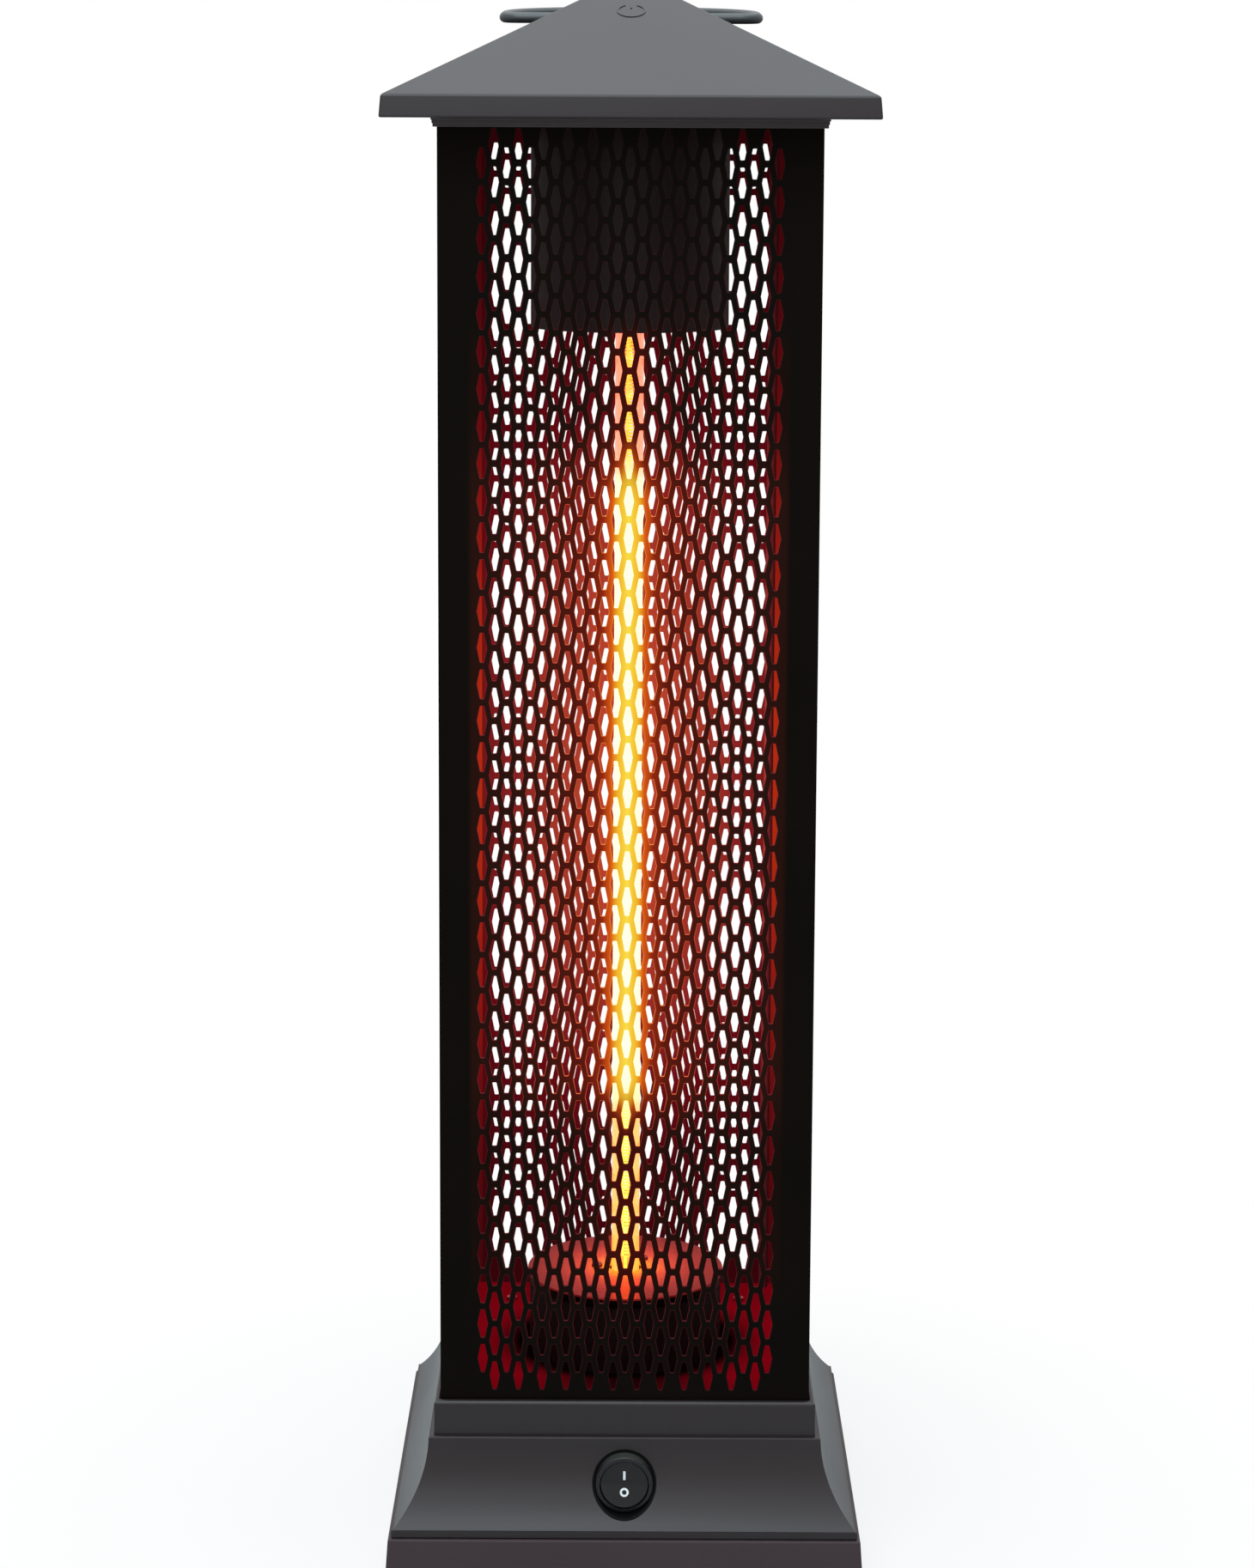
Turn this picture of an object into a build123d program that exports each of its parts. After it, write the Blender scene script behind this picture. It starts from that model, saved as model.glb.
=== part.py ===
from build123d import *
import math
import os

# Infrared patio heater tower, in millimetres.
# The floor is z = 0, the lamp stands on the Z axis and the switch faces -Y.

# ---------------------------------------------------------------- driving dimensions
# Square body: four perforated sheets on four corner posts
body_half = 90.0
panel_height = 635.9
panel_thickness = 1.2
border = 18.0
column_pitch = 11.56
row_pitch = 35.1
hole_height = 29.5
hole_width = 10.4
hole_end_width = 4.4
post_width = 12.0
post_thickness = 1.2
post_foot_thickness = 1.5

# Base cover, from the collar band round the body down to its lip
socket_clearance = 0.2
band_wall = 3.0
band_height = 17.4
band_chamfer = 1.5
cove_ledge = 2.5
cove_spread = 16.6
cove_height = 41.0
cove_foot_step = 0.7
lip_height = 4.0
cover_wall = 2.5
deck_thickness = 2.5

# Plinth tray, feet and ballast
plinth_ledge = 1.6
plinth_flare = 1.7
plinth_height = 25.0
plinth_wall = 3.0
plinth_floor = 2.5
foot_height = 4.0
foot_radius = 9.0
foot_inset = 14.3
foot_stud_radius = 2.9
foot_barb_radius = 3.8
foot_barb_height = 2.2
ballast_half = 70.0
ballast_thickness = 8.0
base_boss_radius = 5.0
base_boss_inset = 20.3
base_boss_aside = 60.0

# Rocker switch in its round recess
switch_height = 52.4
recess_radius = 15.7
well_wall = 1.25
well_depth = 15.8
well_floor = 1.5
bezel_radius = 14.05
bezel_rounding = 0.8
bezel_stand_out = 3.0
bezel_inner_radius = 12.0
rocker_cavity_depth = 11.0
switch_back_radius = 9.9
switch_back_length = 18.0
pivot_depth = 3.5
rocker_gap = 0.25
rocker_tilt = 8.0
rocker_rise = 2.6
rocker_back = 4.0
pin_radius = 1.0
pin_reach = 1.2
mark_thickness = 0.2
mark_on_height = 4.3
mark_on_width = 1.2
mark_on_up = 4.3
mark_off_diameter = 4.3
mark_off_stroke = 1.0
mark_off_down = 4.0
blade_width = 6.3
blade_thickness = 0.8
blade_length = 8.0
blade_root = 4.0
blade_spacing = 10.0

# Cord gland at the back
cord_height = 52.4
cord_bore_radius = 4.0
gland_radius = 8.0
gland_flange_radius = 11.0
gland_flange_thickness = 4.0
gland_dome_radius = 7.5
gland_dome_length = 4.0
gland_tail = 4.5
gland_nut_flats = 21.0
gland_nut_thickness = 4.5
pad_radius = 13.0
pad_stand = 6.5
pad_thickness = 13.5

# Terminal block on the ballast
block_length = 44.0
block_depth = 20.0
block_height = 15.0
block_back = 30.0
block_bore_radius = 1.5
block_bore_pitch = 14.0
block_bore_height = 6.5
clamp_screw_radius = 2.2
clamp_screw_length = 6.0
clamp_screw_sink = 1.0

# Tip-over switch at the left
tip_inset = 24.3
tip_width = 16.0
tip_length = 22.0
tip_height = 30.0
tip_floor = 3.0
tip_cavity_radius = 5.6
plunger_radius = 3.0
plunger_lift = 0.25
plunger_travel = 5.0
plunger_flange_radius = 5.2
plunger_flange_thickness = 2.0
plunger_guide_radius = 2.0
plunger_guide_length = 13.0
spring_outer_radius = 4.6
spring_inner_radius = 2.6
spring_gap = 0.1

# Chamber floor and the two cups round the lamp ends
pan_height = 11.0
pan_thickness = 1.0
pan_gap = 0.3
pan_boss_at = 60.0
pan_boss_radius = 4.0
cup_radius = 48.8
cup_wall = 1.0
cup_flange = 8.0
lower_cup_height = 39.0
upper_cup_height = 102.9
lid_gap = 0.1
lid_wall = 0.9
lid_skirt = 5.0
lamp_hole_gap = 1.5
cup_screw_count = 3
cup_screw_start = 90.0

# Lamp: quartz tube, glowing coil, ceramic caps in their holders
tube_radius = 7.0
tube_wall = 1.2
coil_radius = 2.2
coil_inset = 20.0
coil_pin_radius = 0.8
cap_radius = 8.0
cap_length = 16.0
cap_socket = 10.0
holder_flange_radius = 20.0
holder_flange_thickness = 2.0
holder_wall = 2.4
holder_drop = 3.5
holder_floor = 2.0
holder_screw_at = 14.5
holder_screw_angles = (180, 52)

# Wiring
sleeve_radius = 2.4
sleeve_wall = 0.7
sleeve_inset = 6.2
sleeve_aside = 14.8
sleeve_stand = 3.6
lead_radius = 1.2
lead_bend_limit = 12.0
lead_sink = 2.0
lead_straight = 14.0
lead_blade_run = 12.0
lead_front_run = 20.0
lead_dip = 8.0
lead_over_tip = 15.0
lead_aside = 3.0
lead_clear = 1.0
wire_hole_radius = 6.0

# Roof, its soffit and the stepped collar under it
collar_height = 4.8
collar_wall = 1.7
collar_step = 0.45
soffit_thickness = 2.0
soffit_recess = 0.5
soffit_gap = 0.3
overhang = 24.5
fascia_height = 10.5
fascia_flare = 0.9
roof_rise = 58.0
roof_wall = 2.5
roof_tip_half = 1.5
roof_boss_radius = 4.0
roof_boss_inset = 13.5

# Carrying bail
handle_rod_radius = 2.6
handle_half = 61.9
handle_bend = 8.0
handle_leg = 24.0
handle_tilt = 3.4
handle_drop = 20.7
handle_end = 14.0
handle_hole_gap = 0.3
bush_wall = 1.85
bush_length = 9.0
bush_boss_wall = 2.0
retainer_radius = 5.0
retainer_thickness = 3.0
retainer_gap = 1.0

# Raised power symbol on the front slope
symbol_radius = 6.5
symbol_stroke = 0.9
symbol_height = 0.35
symbol_up_slope = 0.69
symbol_opening = 50.0
symbol_stem = 5.0

# Fasteners and general clearances
slip = 0.05
running_fit = 0.06
small_shank = 1.4
small_head = 2.8
small_head_height = 1.6
small_length = 6.0
cover_shank = 1.5
cover_head = 3.4
cover_head_height = 1.6
cover_length = 12.0
post_shank = 1.9
post_head = 3.4
post_head_height = 2.0
post_length = 8.0
shank_clearance = 0.3
driver_slot = 0.8
driver_depth = 0.9

# ---------------------------------------------------------------- levels and places
tray_floor_z = foot_height + plinth_floor
lip_z = foot_height + plinth_height
cove_z = lip_z + lip_height
band_z = cove_z + cove_height
deck_z = band_z + deck_thickness
band_top_z = band_z + band_height
panel_top_z = deck_z + panel_height
collar_z = panel_top_z - collar_height
fascia_z = panel_top_z - soffit_recess
eave_z = fascia_z + fascia_height
soffit_top_z = panel_top_z + soffit_thickness
floor_z = deck_z + post_foot_thickness + pan_height
pan_under_z = floor_z - pan_thickness
lid_z = floor_z + lower_cup_height
upper_cup_z = panel_top_z - upper_cup_height

inner_half = body_half - panel_thickness
socket_half = body_half + socket_clearance
band_half = socket_half + band_wall
cove_half_top = band_half + cove_ledge
cove_half_bottom = cove_half_top + cove_spread
lip_half = cove_half_bottom + cove_foot_step
plinth_half_top = lip_half + plinth_ledge
plinth_half_bottom = plinth_half_top + plinth_flare
cove_radius = (cove_spread**2 + cove_height**2) / (2 * cove_spread)
reach = plinth_half_bottom + 5.0

foot_at = plinth_half_bottom - foot_inset
base_boss_at = plinth_half_bottom - base_boss_inset
tip_x = -(plinth_half_bottom - tip_inset)
post_at = inner_half - post_width / 2
pan_half = inner_half - post_thickness - pan_gap
sleeve_x = inner_half - sleeve_aside
sleeve_y = inner_half - sleeve_inset
cup_screw_at = cup_radius - cup_wall - cup_flange / 2
lamp_hole_radius = tube_radius + lamp_hole_gap

eave_half = body_half + overhang
fascia_half = eave_half + fascia_flare
roof_angle = math.atan2(roof_rise, eave_half)
roof_drop = roof_wall / math.cos(roof_angle)
roof_boss_at = eave_half - roof_boss_inset
soffit_half = fascia_half - roof_wall - soffit_gap
handle_z = eave_z + roof_rise - handle_drop
FOUR_SIGNS = [(-1, -1), (1, -1), (-1, 1), (1, 1)]


def cove_half_at(z):
    """Half width of the concave base moulding at height z."""
    return cove_half_top + cove_radius - math.sqrt(cove_radius**2 - (band_z - z) ** 2)


switch_y = -cove_half_at(switch_height) - bezel_stand_out
well_back_y = switch_y + bezel_stand_out + well_depth
pivot_y = switch_y + pivot_depth
pad_y = cove_half_at(cord_height) + pad_stand
pad_inner_y = pad_y - pad_thickness


# ---------------------------------------------------------------- shape helpers
def block(x, y, z):
    """Box from three (low, high) pairs."""
    size = [high - low for low, high in (x, y, z)]
    middle = [(low + high) / 2 for low, high in (x, y, z)]
    return Pos(*middle) * Box(*size)


def upright(radius, low, high, x=0.0, y=0.0):
    """Cylinder along Z between two heights."""
    return Pos(x, y, (low + high) / 2) * Cylinder(radius, high - low)


def lengthwise(radius, low, high, x=0.0, z=0.0):
    """Cylinder along Y between two depths."""
    return Pos(x, (low + high) / 2, z) * Rot(90, 0, 0) * Cylinder(radius, high - low)


def crosswise(radius, low, high, y=0.0, z=0.0):
    """Cylinder along X between two places."""
    return Pos((low + high) / 2, y, z) * Rot(0, 90, 0) * Cylinder(radius, high - low)


def square_moulding(right_side):
    """Square solid with mitred corners. The right side runs from the axis out, up and back."""
    profile = make_face(right_side + mirror(right_side, about=Plane.YZ))
    one_way = extrude(Plane.XZ * profile, reach, both=True)
    return one_way & (Rot(0, 0, 90) * one_way)


def square_frame(outer, inner, low, high):
    """Square ring of constant section."""
    return block((-outer, outer), (-outer, outer), (low, high)) - block(
        (-inner, inner), (-inner, inner), (low - 1, high + 1)
    )


def screw(x, y, seat, point, head, head_height, shank, length):
    """Pan-head screw seated at a height; point is +1 where the shank runs up, -1 down."""
    top = seat - point * head_height
    body = upright(head, min(seat, top), max(seat, top), x, y)
    body += upright(shank, min(seat, seat + point * length), max(seat, seat + point * length), x, y)
    slot_z = (min(top, top + point * driver_depth), max(top, top + point * driver_depth))
    arm = head * 0.6
    body -= block((x - arm, x + arm), (y - driver_slot / 2, y + driver_slot / 2), slot_z)
    body -= block((x - driver_slot / 2, x + driver_slot / 2), (y - arm, y + arm), slot_z)
    return body


def small_screw(x, y, seat, point):
    return screw(x, y, seat, point, small_head, small_head_height, small_shank, small_length)


def cover_screw(x, y, seat, point):
    return screw(x, y, seat, point, cover_head, cover_head_height, cover_shank, cover_length)


def post_screw(x, y, seat, point):
    return screw(x, y, seat, point, post_head, post_head_height, post_shank, post_length)


def ring_places(radius, count, start):
    """Points evenly spaced on a circle."""
    angles = [math.radians(start + 360.0 * i / count) for i in range(count)]
    return [(radius * math.cos(a), radius * math.sin(a)) for a in angles]


def joined(shapes):
    """Separate solids kept together as one piece of hardware."""
    total = shapes[0]
    for shape in shapes[1:]:
        total += shape
    return total


def lead(points):
    """Round wire along straight runs joined by tangent arcs."""
    radii = []
    for before, corner, after in zip(points, points[1:], points[2:]):
        run_in = Vector(*corner) - Vector(*before)
        run_out = Vector(*after) - Vector(*corner)
        half_turn = math.radians(run_in.get_angle(run_out)) / 2
        shorter = min(run_in.length, run_out.length)
        radii.append(min(0.45 * shorter / math.tan(half_turn), lead_bend_limit))
    path = FilletPolyline(*points, radius=radii)
    section = Plane(origin=path @ 0, z_dir=path % 0) * Circle(lead_radius)
    return sweep(section, path=path)


def save(name, shape):
    export_step(shape, f"parts/{name}.step")


# ---------------------------------------------------------------- base
def cover_side(inset):
    """Right side of the base cover below the band, set in by a wall thickness.

    The hollow stops one wall below the ledge, and only its middle reaches the deck.
    """
    radius = cove_radius + inset
    top_angle = math.degrees(math.asin(inset / radius))
    foot_angle = math.degrees(math.asin(cove_height / radius))
    centre = (cove_half_top + cove_radius, band_z)
    arc = CenterArc(centre, radius, 180 + top_angle, foot_angle - top_angle)
    ledge = arc @ 0
    foot = arc @ 1
    top_corners = [(ledge.X, ledge.Y)]
    if inset:
        top_corners += [(band_half - inset, ledge.Y), (band_half - inset, band_z)]
    side = Polyline((0, lip_z), (lip_half - inset, lip_z), (lip_half - inset, cove_z), (foot.X, foot.Y))
    return side + arc + Polyline(*top_corners, (0, band_z))


def base_outer():
    band = Polyline(
        (0, band_z),
        (band_half, band_z),
        (band_half, band_top_z - band_chamfer),
        (band_half - band_chamfer, band_top_z),
        (0, band_top_z),
    )
    return square_moulding(cover_side(0)) + square_moulding(band)


def base_boss_places():
    return [(sx * base_boss_at, sy * base_boss_aside) for sx, sy in FOUR_SIGNS]


def base_cover(outer):
    cover = outer - square_moulding(cover_side(cover_wall))
    cover -= block((-socket_half, socket_half), (-socket_half, socket_half), (deck_z, band_top_z + 1))
    bosses = [upright(base_boss_radius, tray_floor_z, band_z, x, y) for x, y in base_boss_places()]
    cover += joined(bosses) & (outer + block((-reach, reach), (-reach, reach), (0, lip_z)))
    for x, y in base_boss_places():
        cover -= upright(cover_shank + slip, tray_floor_z - 1, tray_floor_z + cover_length, x, y)
    for sx, sy in FOUR_SIGNS:
        x, y = sx * pan_boss_at, sy * pan_boss_at
        cover += upright(pan_boss_radius, deck_z, pan_under_z, x, y)
        cover -= upright(small_shank + slip, pan_under_z - small_length - 1, pan_under_z + 1, x, y)
        cover -= upright(post_shank + shank_clearance, band_z - 1, deck_z + 1, sx * post_at, sy * post_at)
    cover += lengthwise(pad_radius, pad_inner_y, pad_y, 0, cord_height)
    cover -= lengthwise(gland_radius + slip, pad_inner_y - 1, pad_y + 1, 0, cord_height)
    cover -= lengthwise(recess_radius, -reach, well_back_y + well_floor + 1, 0, switch_height)
    cover -= upright(wire_hole_radius, band_z - 1, deck_z + 1)
    cover -= upright(sleeve_radius + slip, band_z - 1, deck_z + 1, sleeve_x, sleeve_y)
    return cover


def plinth_tray():
    slope = plinth_flare / plinth_height
    inner_bottom = plinth_half_bottom - slope * plinth_floor - plinth_wall
    inner_top = plinth_half_top - plinth_wall
    outer = Polyline(
        (0, foot_height), (plinth_half_bottom, foot_height), (plinth_half_top, lip_z), (0, lip_z)
    )
    inner = Polyline((0, tray_floor_z), (inner_bottom, tray_floor_z), (inner_top, lip_z), (0, lip_z))
    tray = square_moulding(outer) - square_moulding(inner)
    for sx, sy in FOUR_SIGNS:
        tray -= upright(foot_stud_radius + slip, 0, tray_floor_z + 1, sx * foot_at, sy * foot_at)
    for x, y in base_boss_places():
        tray -= upright(cover_shank + shank_clearance, 0, tray_floor_z + 1, x, y)
    tray -= upright(plunger_radius + shank_clearance, 0, tray_floor_z + 1, tip_x, 0)
    return tray


def rubber_foot(x, y):
    foot = upright(foot_radius, 0, foot_height, x, y)
    foot += upright(foot_stud_radius, foot_height, tray_floor_z, x, y)
    foot += upright(foot_barb_radius, tray_floor_z, tray_floor_z + foot_barb_height, x, y)
    return foot


def ballast_plate():
    half = ballast_half
    return block((-half, half), (-half, half), (tray_floor_z, tray_floor_z + ballast_thickness))


def base_screws():
    return joined([cover_screw(x, y, foot_height, 1) for x, y in base_boss_places()])


# ---------------------------------------------------------------- rocker switch
def switch_well(outer):
    radius = recess_radius - slip
    bore = radius - well_wall
    back = well_back_y + well_floor
    well = lengthwise(radius, -reach, back, 0, switch_height)
    well -= lengthwise(bore, -reach, well_back_y, 0, switch_height)
    well -= lengthwise(switch_back_radius + slip, -reach, back + 1, 0, switch_height)
    return well & outer


def blade_heights():
    return [switch_height - blade_spacing / 2, switch_height + blade_spacing / 2]


def switch_blade(z):
    """Flat terminal blade behind the rocker switch."""
    back = well_back_y + switch_back_length
    return block(
        (-blade_width / 2, blade_width / 2),
        (back - blade_root, back + blade_length),
        (z - blade_thickness / 2, z + blade_thickness / 2),
    )


def tip_blade(y):
    """Flat terminal blade on top of the tip-over switch."""
    top = tray_floor_z + tip_height
    return block(
        (tip_x - blade_width / 2, tip_x + blade_width / 2),
        (y - blade_thickness / 2, y + blade_thickness / 2),
        (top, top + blade_length),
    )


def switch_housing():
    barrel = lengthwise(bezel_radius, switch_y, well_back_y, 0, switch_height)
    front_rim = barrel.edges().filter_by(GeomType.CIRCLE).sort_by(Axis.Y)[0]
    barrel = fillet(front_rim, bezel_rounding)
    back = well_back_y + switch_back_length
    housing = barrel + lengthwise(switch_back_radius, well_back_y, back, 0, switch_height)
    cavity_back = switch_y + rocker_cavity_depth
    housing -= lengthwise(bezel_inner_radius, switch_y - 1, cavity_back, 0, switch_height)
    pin_end = bezel_inner_radius - rocker_gap + pin_reach + slip
    housing -= crosswise(pin_radius + running_fit, -pin_end, pin_end, pivot_y, switch_height)
    for z in blade_heights():
        housing -= block(
            (-blade_width / 2 - slip, blade_width / 2 + slip),
            (back - blade_root, back + 1),
            (z - blade_thickness / 2 - slip, z + blade_thickness / 2 + slip),
        )
    return housing


def switch_terminals():
    blades = [switch_blade(z) for z in blade_heights()]
    blades += [tip_blade(sign * blade_spacing / 2) for sign in (-1, 1)]
    return joined(blades)


def rocker_place():
    """The rocker leans with its upper half pressed in: the heater is on."""
    return Pos(0, pivot_y, switch_height) * Rot(-rocker_tilt, 0, 0)


def switch_rocker():
    radius = bezel_inner_radius - rocker_gap
    rim = rocker_rise + radius * math.tan(math.radians(rocker_tilt))
    side_view = Polyline(
        (rocker_back, -radius),
        (rocker_back, radius),
        (-rim, radius),
        (-rocker_rise, 0),
        (-rim, -radius),
        close=True,
    )
    wedge = extrude(Plane.YZ * make_face(side_view), radius, both=True)
    rocker = wedge & Sphere(radius)
    pin_end = radius + pin_reach
    rocker += crosswise(pin_radius, -pin_end, pin_end)
    return rocker_place() * rocker


def rocker_marks():
    """A white bar on the upper half and a white ring on the lower half."""
    tilt = math.radians(rocker_tilt)
    valley = (0, -rocker_rise, 0)
    upper = Plane(origin=valley, x_dir=(1, 0, 0), z_dir=(0, -math.cos(tilt), -math.sin(tilt)))
    lower = Plane(origin=valley, x_dir=(1, 0, 0), z_dir=(0, -math.cos(tilt), math.sin(tilt)))
    bar = Pos(0, mark_on_up, 0) * Rectangle(mark_on_width, mark_on_height)
    ring = Circle(mark_off_diameter / 2) - Circle(mark_off_diameter / 2 - mark_off_stroke)
    marks = extrude(upper * bar, mark_thickness)
    marks += extrude(lower * (Pos(0, -mark_off_down, 0) * ring), mark_thickness)
    return rocker_place() * marks


# ---------------------------------------------------------------- cord gland and terminal block
def cord_gland():
    flange_end = pad_y + gland_flange_thickness
    gland = lengthwise(gland_radius, pad_inner_y - gland_nut_thickness - gland_tail, pad_y, 0, cord_height)
    gland += lengthwise(gland_flange_radius, pad_y, flange_end, 0, cord_height)
    gland += lengthwise(gland_dome_radius, flange_end, flange_end + gland_dome_length, 0, cord_height)
    gland -= lengthwise(cord_bore_radius, 0, reach + gland_dome_length, 0, cord_height)
    return gland


def gland_nut():
    hexagon = RegularPolygon(gland_nut_flats / 2, 6, major_radius=False)
    nut_plane = Plane(origin=(0, pad_inner_y, cord_height), x_dir=(1, 0, 0), z_dir=(0, -1, 0))
    return extrude(nut_plane * (hexagon - Circle(gland_radius + slip)), gland_nut_thickness)


def block_places():
    return [-block_bore_pitch, 0.0, block_bore_pitch]


def block_low_z():
    return tray_floor_z + ballast_thickness


def terminal_block():
    low = block_low_z()
    front = block_back - block_depth / 2
    rear = block_back + block_depth / 2
    body = block((-block_length / 2, block_length / 2), (front, rear), (low, low + block_height))
    for x in block_places():
        body -= lengthwise(block_bore_radius, front - 1, rear + 1, x, low + block_bore_height)
        clamp_low = low + block_height - clamp_screw_sink - clamp_screw_length
        body -= upright(clamp_screw_radius + slip, clamp_low, low + block_height + 1, x, block_back)
    return body


def terminal_screws():
    """Clamp screws sunk in the top of the terminal block, with a straight slot."""
    top = block_low_z() + block_height - clamp_screw_sink
    screws = []
    for x in block_places():
        clamp = upright(clamp_screw_radius, top - clamp_screw_length, top, x, block_back)
        slot_y = (block_back - driver_slot / 2, block_back + driver_slot / 2)
        slot_x = (x - clamp_screw_radius, x + clamp_screw_radius)
        screws.append(clamp - block(slot_x, slot_y, (top - driver_depth, top + 1)))
    return joined(screws)


# ---------------------------------------------------------------- tip-over switch
tip_cavity_low = tray_floor_z + tip_floor
tip_cavity_high = tray_floor_z + tip_height - tip_floor
plunger_flange_z = tip_cavity_low + plunger_travel + spring_gap


def tip_switch_body():
    half_x = tip_width / 2
    half_y = tip_length / 2
    body = block(
        (tip_x - half_x, tip_x + half_x),
        (-half_y, half_y),
        (tray_floor_z, tray_floor_z + tip_height),
    )
    body -= upright(plunger_radius + running_fit, tray_floor_z - 1, tip_cavity_low + 1, tip_x)
    body -= upright(tip_cavity_radius, tip_cavity_low, tip_cavity_high, tip_x)
    return body


def tip_plunger():
    flange_top = plunger_flange_z + plunger_flange_thickness
    plunger = upright(plunger_radius, plunger_lift, plunger_flange_z, tip_x)
    plunger += upright(plunger_flange_radius, plunger_flange_z, flange_top, tip_x)
    plunger += upright(plunger_guide_radius, flange_top, flange_top + plunger_guide_length, tip_x)
    return plunger


def tip_spring():
    low = plunger_flange_z + plunger_flange_thickness + spring_gap
    high = tip_cavity_high - spring_gap
    return upright(spring_outer_radius, low, high, tip_x) - upright(
        spring_inner_radius, low - 1, high + 1, tip_x
    )


# ---------------------------------------------------------------- body
def corner_post(sx, sy):
    """Angle strip with a square foot at each end, in the corner of the four sheets."""
    outer = inner_half
    inside = outer - post_width
    web = outer - post_thickness
    post = block((inside, outer), (inside, outer), (deck_z, panel_top_z))
    post -= block(
        (inside - 1, web), (inside - 1, web), (deck_z + post_foot_thickness, panel_top_z - post_foot_thickness)
    )
    post -= upright(post_shank + slip, deck_z - 1, panel_top_z + 1, post_at, post_at)
    turn = {(1, 1): 0, (-1, 1): 90, (-1, -1): 180, (1, -1): 270}[(sx, sy)]
    return Rot(0, 0, turn) * post


def post_screws():
    screws = []
    for sx, sy in FOUR_SIGNS:
        screws.append(post_screw(sx * post_at, sy * post_at, band_z, 1))
        screws.append(post_screw(sx * post_at, sy * post_at, soffit_top_z, -1))
    return joined(screws)


def hole_outline(across, up):
    """Long hexagon with its flats at the top and the bottom."""
    end = hole_end_width / 2
    waist = hole_width / 2
    tall = hole_height / 2
    corners = [(end, tall), (waist, 0), (end, -tall), (-end, -tall), (-waist, 0), (-end, tall)]
    return Wire.make_polygon([(across + x, up + y) for x, y in corners])


def grille(width):
    """Perforated sheet in front: staggered columns of long hexagons inside a plain border."""
    open_height = collar_z - band_top_z
    middle = (collar_z + band_top_z) / 2
    side_columns = math.floor((body_half - border) / column_pitch)
    full_rows = math.floor(open_height / row_pitch)
    holes = []
    for column in range(-side_columns, side_columns + 1):
        rows = full_rows - (column + side_columns + 1) % 2
        for row in range(rows):
            up = middle + (row - (rows - 1) / 2) * row_pitch
            holes.append(hole_outline(column * column_pitch, up))
    half = width / 2
    edge = Wire.make_polygon(
        [(-half, deck_z), (half, deck_z), (half, panel_top_z), (-half, panel_top_z)]
    )
    front_plane = Plane(origin=(0, -inner_half, 0), x_dir=(1, 0, 0), z_dir=(0, -1, 0))
    sheet = Solid.extrude(Face(edge, holes), Vector(0, 0, panel_thickness))
    return front_plane * sheet


# ---------------------------------------------------------------- chamber floor and cups
def chamber_floor():
    """Inverted pan that closes the chamber below and rests on the feet of the posts."""
    low = deck_z + post_foot_thickness
    wall = pan_half - pan_thickness
    pan = block((-pan_half, pan_half), (-pan_half, pan_half), (low, floor_z))
    pan -= block((-wall, wall), (-wall, wall), (low - 1, pan_under_z))
    pan -= upright(wire_hole_radius, low, floor_z + 1)
    pan -= upright(sleeve_radius + slip, low, floor_z + 1, sleeve_x, sleeve_y)
    for sx, sy in FOUR_SIGNS:
        x, y = sx * pan_boss_at, sy * pan_boss_at
        pan -= upright(small_shank + shank_clearance, low, floor_z + 1, x, y)
    for x, y in ring_places(cup_screw_at, cup_screw_count, cup_screw_start):
        pan -= upright(small_shank + slip, low, floor_z + 1, x, y)
    return pan


def floor_screws():
    return joined([small_screw(sx * pan_boss_at, sy * pan_boss_at, floor_z, -1) for sx, sy in FOUR_SIGNS])


def can(low, high, flange_low):
    """Round can wall with a flange turned inward at one end."""
    inner = cup_radius - cup_wall
    wall = upright(cup_radius, low, high) - upright(inner, low - 1, high + 1)
    flange = upright(cup_radius, flange_low, flange_low + cup_wall)
    flange -= upright(inner - cup_flange, low - 1, high + 1)
    return wall + flange


def lower_cup():
    cup = can(floor_z, lid_z - cup_wall, floor_z)
    for x, y in ring_places(cup_screw_at, cup_screw_count, cup_screw_start):
        cup -= upright(small_shank + shank_clearance, floor_z - 1, floor_z + cup_wall + 1, x, y)
    return cup


def lower_disc():
    """Bright reflector lid over the lower can."""
    skirt_inner = cup_radius + lid_gap
    lid = upright(skirt_inner + lid_wall, lid_z - lid_skirt, lid_z)
    lid -= upright(skirt_inner, lid_z - lid_skirt - 1, lid_z - cup_wall)
    lid -= upright(lamp_hole_radius, lid_z - lid_skirt, lid_z + 1)
    for x, y in holder_screw_places():
        lid -= upright(small_shank + shank_clearance, lid_z - lid_skirt, lid_z + 1, x, y)
    return lid


def upper_cup():
    cup = can(upper_cup_z, panel_top_z, panel_top_z - cup_wall)
    cup += upright(cup_radius, upper_cup_z, upper_cup_z + cup_wall)
    cup -= upright(lamp_hole_radius, upper_cup_z - 1, upper_cup_z + cup_wall + 1)
    for x, y in holder_screw_places():
        cup -= upright(small_shank + shank_clearance, upper_cup_z - 1, upper_cup_z + cup_wall + 1, x, y)
    for x, y in ring_places(cup_screw_at, cup_screw_count, cup_screw_start):
        cup -= upright(small_shank + slip, panel_top_z - cup_wall - 1, panel_top_z + 1, x, y)
    return cup


def cup_screws():
    screws = []
    for x, y in ring_places(cup_screw_at, cup_screw_count, cup_screw_start):
        screws.append(small_screw(x, y, floor_z + cup_wall, -1))
        screws.append(small_screw(x, y, soffit_top_z, -1))
    return joined(screws)


# ---------------------------------------------------------------- lamp
# Each end of the lamp hangs from a seat: the underside of the lower lid, and the
# floor of the upper cup. Away from the glowing length is -1 at the bottom, +1 at the top.
lamp_seats = {-1: lid_z - cup_wall, 1: upper_cup_z + cup_wall}


def span(seat, away, near, far):
    """Low and high level of a stretch that lies near..far beyond a seat."""
    return sorted((seat + away * near, seat + away * far))


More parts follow.
